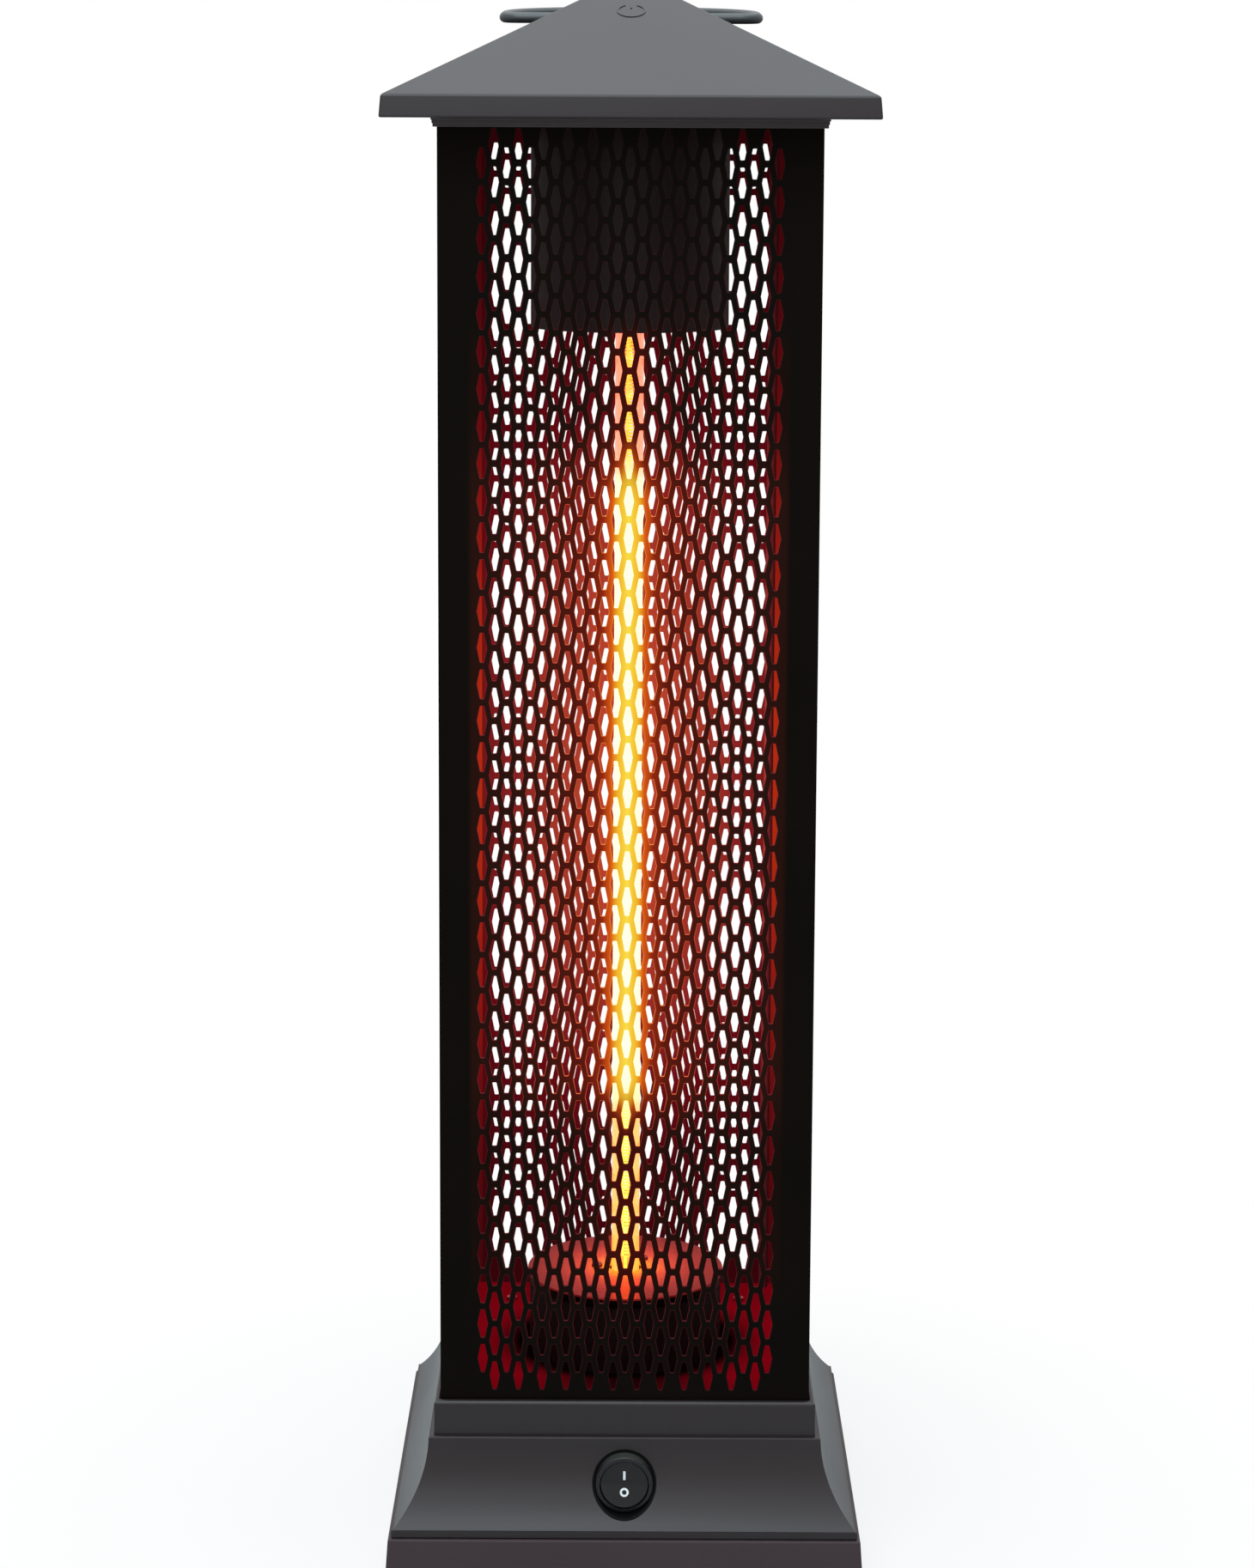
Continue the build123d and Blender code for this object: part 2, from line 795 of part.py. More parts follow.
def cap_stretch(away):
    """Near and far end of a ceramic cap, beyond its seat."""
    return holder_drop, holder_drop + cap_length


def tube_end(away):
    return lamp_seats[away] + away * (holder_drop + cap_socket)


def holder_screw_places():
    angles = [math.radians(a) for a in holder_screw_angles]
    return [(holder_screw_at * math.cos(a), holder_screw_at * math.sin(a)) for a in angles]


def lamp_holder(away):
    seat = lamp_seats[away]
    near, far = cap_stretch(away)
    bore = cap_radius + slip
    holder = upright(holder_flange_radius, *span(seat, away, 0, holder_flange_thickness))
    holder += upright(bore + holder_wall, *span(seat, away, 0, far + holder_floor))
    holder -= upright(bore, *span(seat, away, -1, far))
    holder -= upright(lead_radius + shank_clearance, *span(seat, away, 0, far + holder_floor + 1))
    for x, y in holder_screw_places():
        holder -= upright(small_shank + slip, *span(seat, away, -1, holder_flange_thickness + 1), x, y)
    return holder


def holder_screws():
    screws = [small_screw(x, y, lid_z, -1) for x, y in holder_screw_places()]
    screws += [small_screw(x, y, upper_cup_z, 1) for x, y in holder_screw_places()]
    return joined(screws)


def lamp_cap(away):
    seat = lamp_seats[away]
    near, far = cap_stretch(away)
    cap = upright(cap_radius, *span(seat, away, near, far))
    cap -= upright(tube_radius + slip, *span(seat, away, near - 1, near + cap_socket))
    cap -= upright(lead_radius + slip, *span(seat, away, near, far + 1))
    return cap


def lamp_tube():
    tube = upright(tube_radius, tube_end(-1), tube_end(1))
    return tube - upright(tube_radius - tube_wall, tube_end(-1) - 1, tube_end(1) + 1)


def lamp_element():
    """Heating coil with a thin pin into the cap at each end."""
    coil = upright(coil_radius, tube_end(-1) + coil_inset, tube_end(1) - coil_inset)
    return coil + upright(coil_pin_radius, tube_end(-1), tube_end(1))


# ---------------------------------------------------------------- wiring
def wire_sleeve():
    low = band_z - sleeve_stand
    high = soffit_top_z + sleeve_stand
    bore = sleeve_radius - sleeve_wall
    return upright(sleeve_radius, low, high, sleeve_x, sleeve_y) - upright(
        bore, low - 1, high + 1, sleeve_x, sleeve_y
    )


def lead_end(away):
    """Where a lead stops inside a ceramic cap."""
    near, far = cap_stretch(away)
    return lamp_seats[away] + away * (far - lead_sink)


def blade_tip_y():
    return well_back_y + switch_back_length + blade_length


def blade_tip_z():
    return tray_floor_z + tip_height + blade_length


def lead_upper():
    """From the terminal block up the rear corner, over the soffit and down to the lamp."""
    bore_z = block_low_z() + block_bore_height
    rear = block_back + block_depth / 2
    x = block_bore_pitch
    over = soffit_top_z + sleeve_stand + lead_bend_limit + lead_clear
    return lead(
        [
            (x, rear - 2 * lead_sink, bore_z),
            (x, rear + lead_straight, bore_z),
            (sleeve_x, sleeve_y, bore_z + lead_straight),
            (sleeve_x, sleeve_y, over),
            (0, 0, over),
            (0, 0, lead_end(1)),
        ]
    )


def lead_lower():
    """From the tip-over switch up through the deck to the lower end of the lamp."""
    y = blade_spacing / 2
    over = blade_tip_z() + lead_over_tip
    return lead(
        [
            (tip_x, y, blade_tip_z()),
            (tip_x, y, over),
            (-lead_front_run, lead_aside, over),
            (0, 0, band_z),
            (0, 0, lead_end(-1)),
        ]
    )


def lead_switch():
    """From the terminal block to the upper blade of the rocker switch."""
    bore_z = block_low_z() + block_bore_height
    front = block_back - block_depth / 2
    x = -block_bore_pitch
    blade_z = blade_heights()[1]
    return lead(
        [
            (x, front + 2 * lead_sink, bore_z),
            (x, front - lead_front_run, bore_z),
            (x / 2, front - 2 * lead_front_run, blade_z - lead_dip),
            (0, blade_tip_y() + lead_straight, blade_z),
            (0, blade_tip_y(), blade_z),
        ]
    )


def lead_tip():
    """From the lower blade of the rocker switch to the tip-over switch."""
    blade_z = blade_heights()[0]
    y = -blade_spacing / 2
    over = blade_tip_z() + lead_over_tip
    return lead(
        [
            (0, blade_tip_y(), blade_z),
            (0, blade_tip_y() + lead_blade_run, blade_z),
            (tip_x / 2, blade_tip_y() + 2 * lead_blade_run, over),
            (tip_x, y, over),
            (tip_x, y, blade_tip_z()),
        ]
    )


# ---------------------------------------------------------------- roof
def roof_outline(inset, drop, low):
    """Right side of the roof: upright fascia, then the slope to a small flat tip."""
    tip = roof_tip_half
    tip_z = eave_z + (eave_half - tip) * math.tan(roof_angle)
    side_half = fascia_half - inset
    shoulder = eave_half - inset
    shoulder_z = eave_z + inset * math.tan(roof_angle) - drop
    return Polyline((0, low), (side_half, low), (shoulder, shoulder_z), (tip, tip_z - drop), (0, tip_z - drop))


def roof_z(half, drop):
    """Height of the slope at a distance from the axis."""
    return eave_z + (eave_half - half) * math.tan(roof_angle) - drop


def roof_shell():
    outer = square_moulding(roof_outline(0, 0, fascia_z))
    hollow = square_moulding(roof_outline(roof_wall, roof_drop, fascia_z))
    shell = outer - hollow
    for sx, sy in FOUR_SIGNS:
        x, y = sx * roof_boss_at, sy * roof_boss_at
        boss = upright(roof_boss_radius, soffit_top_z, roof_z(roof_boss_at, 0), x, y)
        shell += boss & outer
        shell -= upright(cover_shank + slip, soffit_top_z - 1, soffit_top_z + cover_length - soffit_thickness, x, y)
    bush_low, bush_high = bush_stretch()
    bush_radius = handle_rod_radius + running_fit + bush_wall
    for side in (-1, 1):
        low, high = sorted((side * bush_low, side * bush_high))
        boss = crosswise(bush_radius + bush_boss_wall, low, high, 0, handle_z)
        web = block((low, high), (-bush_boss_wall, bush_boss_wall), (handle_z, handle_z + handle_drop))
        shell += (boss + web) & outer
        shell -= crosswise(bush_radius + slip, low - 1, high + 1, 0, handle_z)
        hole_low, hole_high = sorted((side * bush_low, side * eave_half))
        shell -= crosswise(handle_rod_radius + handle_hole_gap, hole_low, hole_high, 0, handle_z)
    return shell


def roof_soffit():
    soffit = block((-soffit_half, soffit_half), (-soffit_half, soffit_half), (panel_top_z, soffit_top_z))
    low, high = panel_top_z - 1, soffit_top_z + 1
    soffit -= upright(wire_hole_radius, low, high)
    soffit -= upright(sleeve_radius + slip, low, high, sleeve_x, sleeve_y)
    for sx, sy in FOUR_SIGNS:
        soffit -= upright(post_shank + shank_clearance, low, high, sx * post_at, sy * post_at)
        soffit -= upright(cover_shank + shank_clearance, low, high, sx * roof_boss_at, sy * roof_boss_at)
    for x, y in ring_places(cup_screw_at, cup_screw_count, cup_screw_start):
        soffit -= upright(small_shank + shank_clearance, low, high, x, y)
    return soffit


def roof_screws():
    places = [(sx * roof_boss_at, sy * roof_boss_at) for sx, sy in FOUR_SIGNS]
    return joined([cover_screw(x, y, panel_top_z, 1) for x, y in places])


def top_collar():
    """Trim ring round the top of the sheets, stepping out twice on its way up."""
    step_height = collar_height / 3
    rings = []
    for step in range(3):
        low = collar_z + step * step_height
        outer = socket_half + collar_wall + step * collar_step
        rings.append(square_frame(outer, socket_half, low, low + step_height))
    return joined(rings)


def slope_plane(share):
    """Plane on the front slope, a share of the way from the eave to the tip."""
    y = -eave_half * (1 - share)
    normal = (0, -math.sin(roof_angle), math.cos(roof_angle))
    return Plane(origin=(0, y, roof_z(-y, 0)), x_dir=(1, 0, 0), z_dir=normal)


def power_symbol():
    ring = Circle(symbol_radius + symbol_stroke / 2) - Circle(symbol_radius - symbol_stroke / 2)
    opening = symbol_radius * math.sin(math.radians(symbol_opening / 2))
    ring -= Pos(0, symbol_radius, 0) * Rectangle(2 * opening, symbol_radius)
    stem = Pos(0, symbol_radius + symbol_stroke - symbol_stem / 2, 0) * Rectangle(symbol_stroke, symbol_stem)
    place = slope_plane(symbol_up_slope)
    return extrude(place * ring, symbol_height) + extrude(place * stem, symbol_height)


# ---------------------------------------------------------------- carrying bail
def bush_stretch():
    """Near and far end of a handle bush, measured from the middle."""
    near = handle_end + retainer_thickness + retainer_gap
    return near, near + bush_length


def handle_plane():
    tilt = math.radians(handle_tilt)
    return Plane(origin=(0, 0, handle_z), x_dir=(1, 0, 0), z_dir=(0, -math.sin(tilt), math.cos(tilt)))


def handle_bail():
    """One bent rod: stub, corner, leg and a half-round arch, folded back behind the roof."""
    corner = handle_half - handle_bend
    right = Line((handle_end, 0), (corner, 0))
    right += CenterArc((corner, handle_bend), handle_bend, -90, 90)
    right += Line((handle_half, handle_bend), (handle_half, handle_leg))
    arch = CenterArc((0, handle_leg), handle_half, 0, 180)
    path = Wire((handle_plane() * (right + arch + mirror(right, about=Plane.YZ))).edges())
    section = Plane(origin=(handle_end, 0, handle_z), z_dir=(1, 0, 0)) * Circle(handle_rod_radius)
    return sweep(section, path=path)


def handle_retainers():
    rings = []
    for side in (-1, 1):
        low, high = sorted((side * handle_end, side * (handle_end + retainer_thickness)))
        ring = crosswise(retainer_radius, low, high, 0, handle_z)
        rings.append(ring - crosswise(handle_rod_radius + slip, low - 1, high + 1, 0, handle_z))
    return joined(rings)


def handle_bushes():
    near, far = bush_stretch()
    bore = handle_rod_radius + running_fit
    bushes = []
    for side in (-1, 1):
        low, high = sorted((side * near, side * far))
        bush = crosswise(bore + bush_wall, low, high, 0, handle_z)
        bushes.append(bush - crosswise(bore, low - 1, high + 1, 0, handle_z))
    return joined(bushes)


# ---------------------------------------------------------------- every piece in its own file
def main():
    os.makedirs("parts", exist_ok=True)
    outer = base_outer()
    save("base_cover", base_cover(outer))
    save("plinth_tray", plinth_tray())
    save("ballast_plate", ballast_plate())
    save("base_screws", base_screws())
    save("switch_well", switch_well(outer))
    save("switch_housing", switch_housing())
    save("switch_terminals", switch_terminals())
    save("switch_rocker", switch_rocker())
    save("rocker_marks", rocker_marks())
    save("cord_gland", cord_gland())
    save("gland_nut", gland_nut())
    save("terminal_block", terminal_block())
    save("terminal_screws", terminal_screws())
    save("tip_switch_body", tip_switch_body())
    save("tip_plunger", tip_plunger())
    save("tip_spring", tip_spring())

    for sx, sy in FOUR_SIGNS:
        corner = ("rear_" if sy > 0 else "front_") + ("right" if sx > 0 else "left")
        save(f"foot_{corner}", rubber_foot(sx * foot_at, sy * foot_at))
        save(f"post_{corner}", corner_post(sx, sy))
    save("post_screws", post_screws())

    wide_sheet = grille(2 * body_half)
    narrow_sheet = grille(2 * inner_half)
    save("front_grille", wide_sheet)
    save("right_grille", Rot(0, 0, 90) * narrow_sheet)
    save("rear_grille", Rot(0, 0, 180) * wide_sheet)
    save("left_grille", Rot(0, 0, 270) * narrow_sheet)

    save("chamber_floor", chamber_floor())
    save("floor_screws", floor_screws())
    save("lower_cup", lower_cup())
    save("lower_disc", lower_disc())
    save("upper_cup", upper_cup())
    save("cup_screws", cup_screws())
    save("lamp_holder_lower", lamp_holder(-1))
    save("lamp_holder_upper", lamp_holder(1))
    save("holder_screws", holder_screws())
    save("lamp_cap_lower", lamp_cap(-1))
    save("lamp_cap_upper", lamp_cap(1))
    save("lamp_tube", lamp_tube())
    save("lamp_element", lamp_element())
    save("wire_sleeve", wire_sleeve())
    save("lead_upper", lead_upper())
    save("lead_lower", lead_lower())
    save("lead_switch", lead_switch())
    save("lead_tip", lead_tip())

    save("roof_shell", roof_shell())
    save("roof_soffit", roof_soffit())
    save("roof_screws", roof_screws())
    save("top_collar", top_collar())
    save("power_symbol", power_symbol())
    save("handle_bail", handle_bail())
    save("handle_retainers", handle_retainers())
    save("handle_bushes", handle_bushes())


main()
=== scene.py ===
# %% [markdown]
# # Infrared patio heater tower
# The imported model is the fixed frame: every piece below is placed from it, in metres.
# Up is +Z, the rocker switch faces -Y, and the lamp stands on the Z axis.

import math
from functools import partial

import bmesh
import bpy
from mathutils import Matrix, Vector
from mathutils.bvhtree import BVHTree


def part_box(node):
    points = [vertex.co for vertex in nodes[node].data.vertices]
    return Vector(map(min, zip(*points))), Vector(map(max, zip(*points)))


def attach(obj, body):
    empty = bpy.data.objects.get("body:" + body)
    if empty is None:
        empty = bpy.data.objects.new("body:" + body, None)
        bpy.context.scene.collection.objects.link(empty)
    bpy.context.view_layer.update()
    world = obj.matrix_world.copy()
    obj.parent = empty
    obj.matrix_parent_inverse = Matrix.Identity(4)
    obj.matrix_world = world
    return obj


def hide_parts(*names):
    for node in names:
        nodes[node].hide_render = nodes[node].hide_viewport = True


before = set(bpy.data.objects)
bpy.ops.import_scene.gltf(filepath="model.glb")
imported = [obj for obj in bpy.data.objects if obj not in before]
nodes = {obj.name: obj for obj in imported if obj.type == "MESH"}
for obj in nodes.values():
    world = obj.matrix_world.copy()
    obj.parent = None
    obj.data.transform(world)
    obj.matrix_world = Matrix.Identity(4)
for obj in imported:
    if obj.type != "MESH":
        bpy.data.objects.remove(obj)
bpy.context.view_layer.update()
MM = 0.001

# %% [markdown]
# ## Camera
# The photograph was taken from straight in front, with the lens about level with the eaves. The
# camera stands where the photograph's own perspective puts it. A tilt of about 8 degrees and a
# small lens shift share the work of bringing the tower into the frame, so the other views stay
# nearly centred.

# %% Camera
CAMERA_DISTANCE = 1.729
CAMERA_HEIGHT = 0.721
CAMERA_TILT = math.radians(8.175)
CAMERA_ROLL = math.radians(0.272)
CAMERA_LENS = 80.37
CAMERA_SHIFT = (-0.00094, -0.1165)


def make_camera():
    ahead = Vector((0, math.cos(CAMERA_TILT), -math.sin(CAMERA_TILT)))
    level = Vector((1, 0, 0))
    above = level.cross(ahead)
    right = level * math.cos(CAMERA_ROLL) + above * math.sin(CAMERA_ROLL)
    up = right.cross(ahead)
    data = bpy.data.cameras.new("camera")
    data.lens = CAMERA_LENS
    data.shift_x, data.shift_y = CAMERA_SHIFT
    data.clip_start, data.clip_end = 0.05, 60.0
    camera = bpy.data.objects.new("camera", data)
    bpy.context.scene.collection.objects.link(camera)
    turn = Matrix((right, up, -ahead)).transposed().to_4x4()
    camera.matrix_world = Matrix.Translation((0, -CAMERA_DISTANCE, CAMERA_HEIGHT)) @ turn
    bpy.context.scene.camera = camera


make_camera()
print("Camera", CAMERA_DISTANCE, "m in front, lens", CAMERA_LENS, "mm")

# %% [markdown]
# ## Small helpers for node trees
# Every material and every Geometry Nodes tree is wired by hand in code. Short helpers keep that
# readable: one makes a colour from the numbers an image editor shows, one adds a node, and the
# others return the output of one node that is used often, such as a sum or a colour ramp.

# %% Node helpers
def srgb(red, green, blue):
    """Linear colour from 0..255 numbers."""
    def linear(value):
        value /= 255
        return value / 12.92 if value <= 0.04045 else ((value + 0.055) / 1.055) ** 2.4
    return (linear(red), linear(green), linear(blue), 1.0)


def add_node(tree, kind, inputs=None, **settings):
    """A node with its settings, and its inputs set to values or linked to sockets."""
    node = tree.nodes.new(kind)
    for name, value in settings.items():
        setattr(node, name, value)
    for name, value in (inputs or {}).items():
        if isinstance(value, bpy.types.NodeSocket):
            tree.links.new(value, node.inputs[name])
        else:
            node.inputs[name].default_value = value
    return node


def calc(tree, operation, *values, clamp=False):
    """The output of a Math node."""
    node = add_node(tree, "ShaderNodeMath", dict(enumerate(values)), operation=operation, use_clamp=clamp)
    return node.outputs[0]


def sums(tree):
    """Short names for three sums of two values in one tree: more, less and times."""
    return [partial(calc, tree, operation) for operation in ("ADD", "SUBTRACT", "MULTIPLY")]


def rest_of(tree, share):
    """What a share leaves of 1."""
    return calc(tree, "SUBTRACT", 1.0, share)


def split(tree, vector):
    """The X, Y and Z of a vector."""
    return add_node(tree, "ShaderNodeSeparateXYZ", {"Vector": vector}).outputs


def ramp(tree, factor, stops):
    """The colour output of a colour ramp. Stops are (place, colour)."""
    node = add_node(tree, "ShaderNodeValToRGB", {"Fac": factor})
    ladder = node.color_ramp
    for place, colour in stops[1:-1]:
        ladder.elements.new(place)
    for element, (place, colour) in zip(ladder.elements, stops):
        element.position = place
    for element, (place, colour) in zip(ladder.elements, stops):
        element.color = colour
    return node.outputs["Color"]


def smooth_step(tree, value, low, high):
    """0 below low, 1 above high, and a soft rise between."""
    node = add_node(
        tree, "ShaderNodeMapRange",
        {"Value": value, "From Min": low, "From Max": high, "To Min": 0.0, "To Max": 1.0},
        interpolation_type="SMOOTHSTEP",
    )
    return node.outputs["Result"]


def new_group(name, kind, inputs, outputs):
    """An empty node group with named sockets, and its input and output nodes."""
    group = bpy.data.node_groups.new(name, kind)
    for label, socket, value in inputs:
        made = group.interface.new_socket(label, in_out="INPUT", socket_type=socket)
        if value is not None:
            made.default_value = value
    for label, socket in outputs:
        group.interface.new_socket(label, in_out="OUTPUT", socket_type=socket)
    return group, group.nodes.new("NodeGroupInput"), group.nodes.new("NodeGroupOutput")


print("Helpers ready")

# %% [markdown]
# ## Shared effect: fine grain of a moulded or painted surface
# Moulded plastic and powder paint both have a fine, even grain, and a slow drift of tone across
# a large face. Two noises give a height for bump and a drift between 0 and 1. A bump node in the
# material turns the height into a normal.

# %% Grain group
FLOAT, VECTOR = "NodeSocketFloat", "NodeSocketVector"


def make_grain():
    group, start, end = new_group(
        "surface_grain", "ShaderNodeTree",
        [("Place", VECTOR, None), ("Grain per Metre", FLOAT, 1500.0), ("Drift per Metre", FLOAT, 9.0)],
        [("Height", FLOAT), ("Drift", FLOAT)],
    )
    fine = add_node(group, "ShaderNodeTexNoise", {
        "Vector": start.outputs["Place"], "Scale": start.outputs["Grain per Metre"],
        "Detail": 3.0, "Roughness": 0.6})
    slow = add_node(group, "ShaderNodeTexNoise", {
        "Vector": start.outputs["Place"], "Scale": start.outputs["Drift per Metre"],
        "Detail": 2.0, "Roughness": 0.5})
    group.links.new(fine.outputs["Fac"], end.inputs["Height"])
    group.links.new(slow.outputs["Fac"], end.inputs["Drift"])
    return group


GRAIN = make_grain()
print("Group", GRAIN.name)

# %% [markdown]
# ## Shared effect: light of the lamp on what stands round it
# The glowing tube is a line of light along the Z axis. For a face at a distance r from such a
# line, the light that it gets has a closed formula: one part for how far the face looks towards
# the line, and one for how far it looks up or down along it. The disc below and the cup above
# hide a part of the line, and the formula simply starts or ends where their rims cut it off.
# So every inner face gets red light with no noise, and the glow stays in the exported model.

# %% Lamp light group
LAMP_FROM, LAMP_TO = 0.128, 0.6095
HOT_FROM, HOT_TO = 0.205, 0.545
LAMP_SHADE = 0.0498
INNER_FACE = 0.0888


def make_lamp_light():
    group, start, end = new_group(
        "lamp_light", "ShaderNodeTree",
        [("Place", VECTOR, None), ("Facing", VECTOR, None), ("From", FLOAT, LAMP_FROM),
         ("To", FLOAT, LAMP_TO), ("Hot From", FLOAT, HOT_FROM), ("Hot To", FLOAT, HOT_TO),
         ("Shade Radius", FLOAT, LAMP_SHADE), ("Full at", FLOAT, INNER_FACE)],
        [("Light", FLOAT), ("Across", FLOAT), ("Depth", FLOAT), ("Level", FLOAT), ("Radius", FLOAT)],
    )
    given = start.outputs
    places, facing = split(group, given["Place"]), split(group, given["Facing"])
    more, less, times = sums(group)
    x, y = calc(group, "ABSOLUTE", places["X"]), calc(group, "ABSOLUTE", places["Y"])
    # the square of the distance from the line, which is never quite 0
    square = calc(group, "MAXIMUM", more(times(x, x), times(y, y)), 0.00001)
    radius = calc(group, "SQRT", square)
    level = places["Z"]
    # what the rims of the disc and of the upper cup leave in sight of the line
    past_rim = calc(group, "MAXIMUM", less(radius, given["Shade Radius"]), 0.001)
    beside = calc(group, "DIVIDE", radius, past_rim)
    low = more(level, times(less(given["From"], level), beside))
    low = calc(group, "MINIMUM", calc(group, "MAXIMUM", low, given["Hot From"]), given["Hot To"])
    high = less(level, times(less(level, given["To"]), beside))
    high = calc(group, "MAXIMUM", calc(group, "MINIMUM", high, given["Hot To"]), low)
    ends = []
    for limit in (high, low):
        gap = less(limit, level)
        reach = calc(group, "SQRT", more(times(gap, gap), square))
        ends.append((calc(group, "DIVIDE", gap, reach), calc(group, "DIVIDE", 1.0, reach)))
    (up, up_far), (down, down_far) = ends
    inward = more(times(facing["X"], places["X"]), times(facing["Y"], places["Y"]))
    sideways = times(calc(group, "DIVIDE", inward, square), less(down, up))
    lengthways = times(facing["Z"], less(down_far, up_far))
    light = times(more(sideways, lengthways), times(given["Full at"], 0.5))
    for label, value in (
        ("Light", calc(group, "MAXIMUM", light, 0.0)),
        ("Across", calc(group, "MINIMUM", x, y)),
        ("Depth", calc(group, "MAXIMUM", x, y)),
        ("Level", level),
        ("Radius", radius),
    ):
        group.links.new(value, end.inputs[label])
    return group


LAMP_LIGHT = make_lamp_light()
print("Group", LAMP_LIGHT.name, "from", LAMP_FROM, "to", LAMP_TO, "m")

# %% [markdown]
# ## Materials
# Each finish is one Principled shader. Object coordinates drive the patterns, because every
# piece has its place in its mesh. The gloss is set on the shader's own sockets.

# %% Material helper
def start_material(name, roughness, specular=0.5, metallic=0.0):
    """A material with one Principled shader, and its Object coordinates."""
    made = bpy.data.materials.new(name)
    made.use_nodes = True
    tree = made.node_tree
    tree.nodes.clear()
    shader = add_node(tree, "ShaderNodeBsdfPrincipled", {
        "Roughness": roughness, "Metallic": metallic, "Specular IOR Level": specular})
    output = tree.nodes.new("ShaderNodeOutputMaterial")
    tree.links.new(shader.outputs["BSDF"], output.inputs["Surface"])
    place = tree.nodes.new("ShaderNodeTexCoord").outputs["Object"]
    return made, tree, shader, place


def add_grain(tree, shader, place, colour, other, grain, drift, bump, rough=None):
    """Colour that drifts between two tones, fine bump and, where asked, a drift of roughness."""
    made = add_node(tree, "ShaderNodeGroup", node_tree=GRAIN)
    tree.links.new(place, made.inputs["Place"])
    made.inputs["Grain per Metre"].default_value = grain
    made.inputs["Drift per Metre"].default_value = drift
    tone = ramp(tree, made.outputs["Drift"], [(0.3, colour), (0.7, other)])
    tree.links.new(tone, shader.inputs["Base Color"])
    normal = add_node(tree, "ShaderNodeBump", {
        "Height": made.outputs["Height"], "Strength": bump, "Distance": 0.1 * MM})
    tree.links.new(normal.outputs["Normal"], shader.inputs["Normal"])
    if rough:
        spread = add_node(tree, "ShaderNodeMapRange", {
            "Value": made.outputs["Drift"], "From Min": 0.3, "From Max": 0.7,
            "To Min": rough[0], "To Max": rough[1]})
        tree.links.new(spread.outputs["Result"], shader.inputs["Roughness"])
    return made


def lamp_sockets(tree, place):
    made = add_node(tree, "ShaderNodeGroup", node_tree=LAMP_LIGHT)
    tree.links.new(place, made.inputs["Place"])
    tree.links.new(tree.nodes.new("ShaderNodeNewGeometry").outputs["Normal"], made.inputs["Facing"])
    return made.outputs


def glow(tree, shader, colour, strength=1.0):
    tree.links.new(colour, shader.inputs["Emission Color"])
    shader.inputs["Emission Strength"].default_value = strength


def mix_colour(tree, factor, first, second):
    """First colour where the factor is 0, second where it is 1."""
    node = add_node(tree, "ShaderNodeMix", data_type="RGBA")
    for index, value in ((0, factor), (6, first), (7, second)):
        if isinstance(value, bpy.types.NodeSocket):
            tree.links.new(value, node.inputs[index])
        else:
            node.inputs[index].default_value = value
    return node.outputs[2]


BLACK = (0.0, 0.0, 0.0, 1.0)
print("Material helpers ready")

# %% [markdown]
# ### Plain finishes: moulded plastic, rubber, metal and ceramic
# The roof and the base are moulded in one dark grey with a satin face, and the plinth and the
# collar have tones close to it. Under the slightly cool lamps these warm tones come out neutral.
# A low specular level keeps upright faces dark, and the grazing view of the roof still turns it
# light, as in the photograph.

# %% Plain finishes
def make_plain_finish(
    name, colour, other, roughness, specular, grain, drift, bump, metallic=0.0, rough=None,
):
    made, tree, shader, place = start_material(name, roughness, specular, metallic)
    add_grain(tree, shader, place, colour, other, grain, drift, bump, rough)
    return made


satin_grey = make_plain_finish(
    "satin_grey", srgb(39, 31, 32), srgb(42, 34, 35), 0.36, 0.27, 1400.0, 7.0, 0.1, rough=(0.33, 0.39))
tray_grey = make_plain_finish(
    "tray_grey", srgb(60, 48, 51), srgb(63, 50, 54), 0.5, 0.2, 1400.0, 7.0, 0.1, rough=(0.46, 0.54))
collar_grey = make_plain_finish(
    "collar_grey", srgb(66, 59, 58), srgb(71, 64, 63), 0.5, 0.2, 1500.0, 9.0, 0.12)
hidden_black = make_plain_finish(
    "hidden_black", srgb(24, 24, 25), srgb(30, 30, 31), 0.5, 0.4, 1500.0, 20.0, 0.15)
# the well's liner is black plastic, and its near-black, almost glossless colour is also painted shade
# deep in the recess
recess_black_shade = make_plain_finish(
    "recess_black_shade", srgb(10, 9, 9), srgb(12, 11, 11), 0.6, 0.05, 1500.0, 20.0, 0.15)
rubber_black = make_plain_finish(
    "rubber_black", srgb(28, 28, 28), srgb(34, 34, 34), 0.8, 0.3, 900.0, 30.0, 0.4)
mark_white = make_plain_finish(
    "mark_white", srgb(225, 228, 230), srgb(235, 237, 238), 0.45, 0.4, 2500.0, 200.0, 0.05)
rod_black = make_plain_finish(
    "rod_black", srgb(52, 54, 56), srgb(58, 60, 62), 0.42, 0.45, 1800.0, 40.0, 0.2)
zinc = make_plain_finish(
    "zinc", srgb(165, 168, 170), srgb(190, 192, 192), 0.35, 0.5, 1500.0, 60.0, 0.15, metallic=1.0)
brass = make_plain_finish(
    "brass", srgb(196, 160, 88), srgb(208, 172, 100), 0.3, 0.5, 1200.0, 60.0, 0.1, metallic=1.0)
cast_iron = make_plain_finish(
    "cast_iron", srgb(46, 46, 48), srgb(62, 61, 60), 0.75, 0.4, 500.0, 25.0, 0.8)
silicone_red = make_plain_finish(
    "silicone_red", srgb(128, 40, 34), srgb(140, 46, 38), 0.5, 0.4, 1200.0, 50.0, 0.1)
ceramic = make_plain_finish(
    "ceramic", srgb(214, 204, 190), srgb(228, 220, 206), 0.45, 0.5, 900.0, 60.0, 0.2)


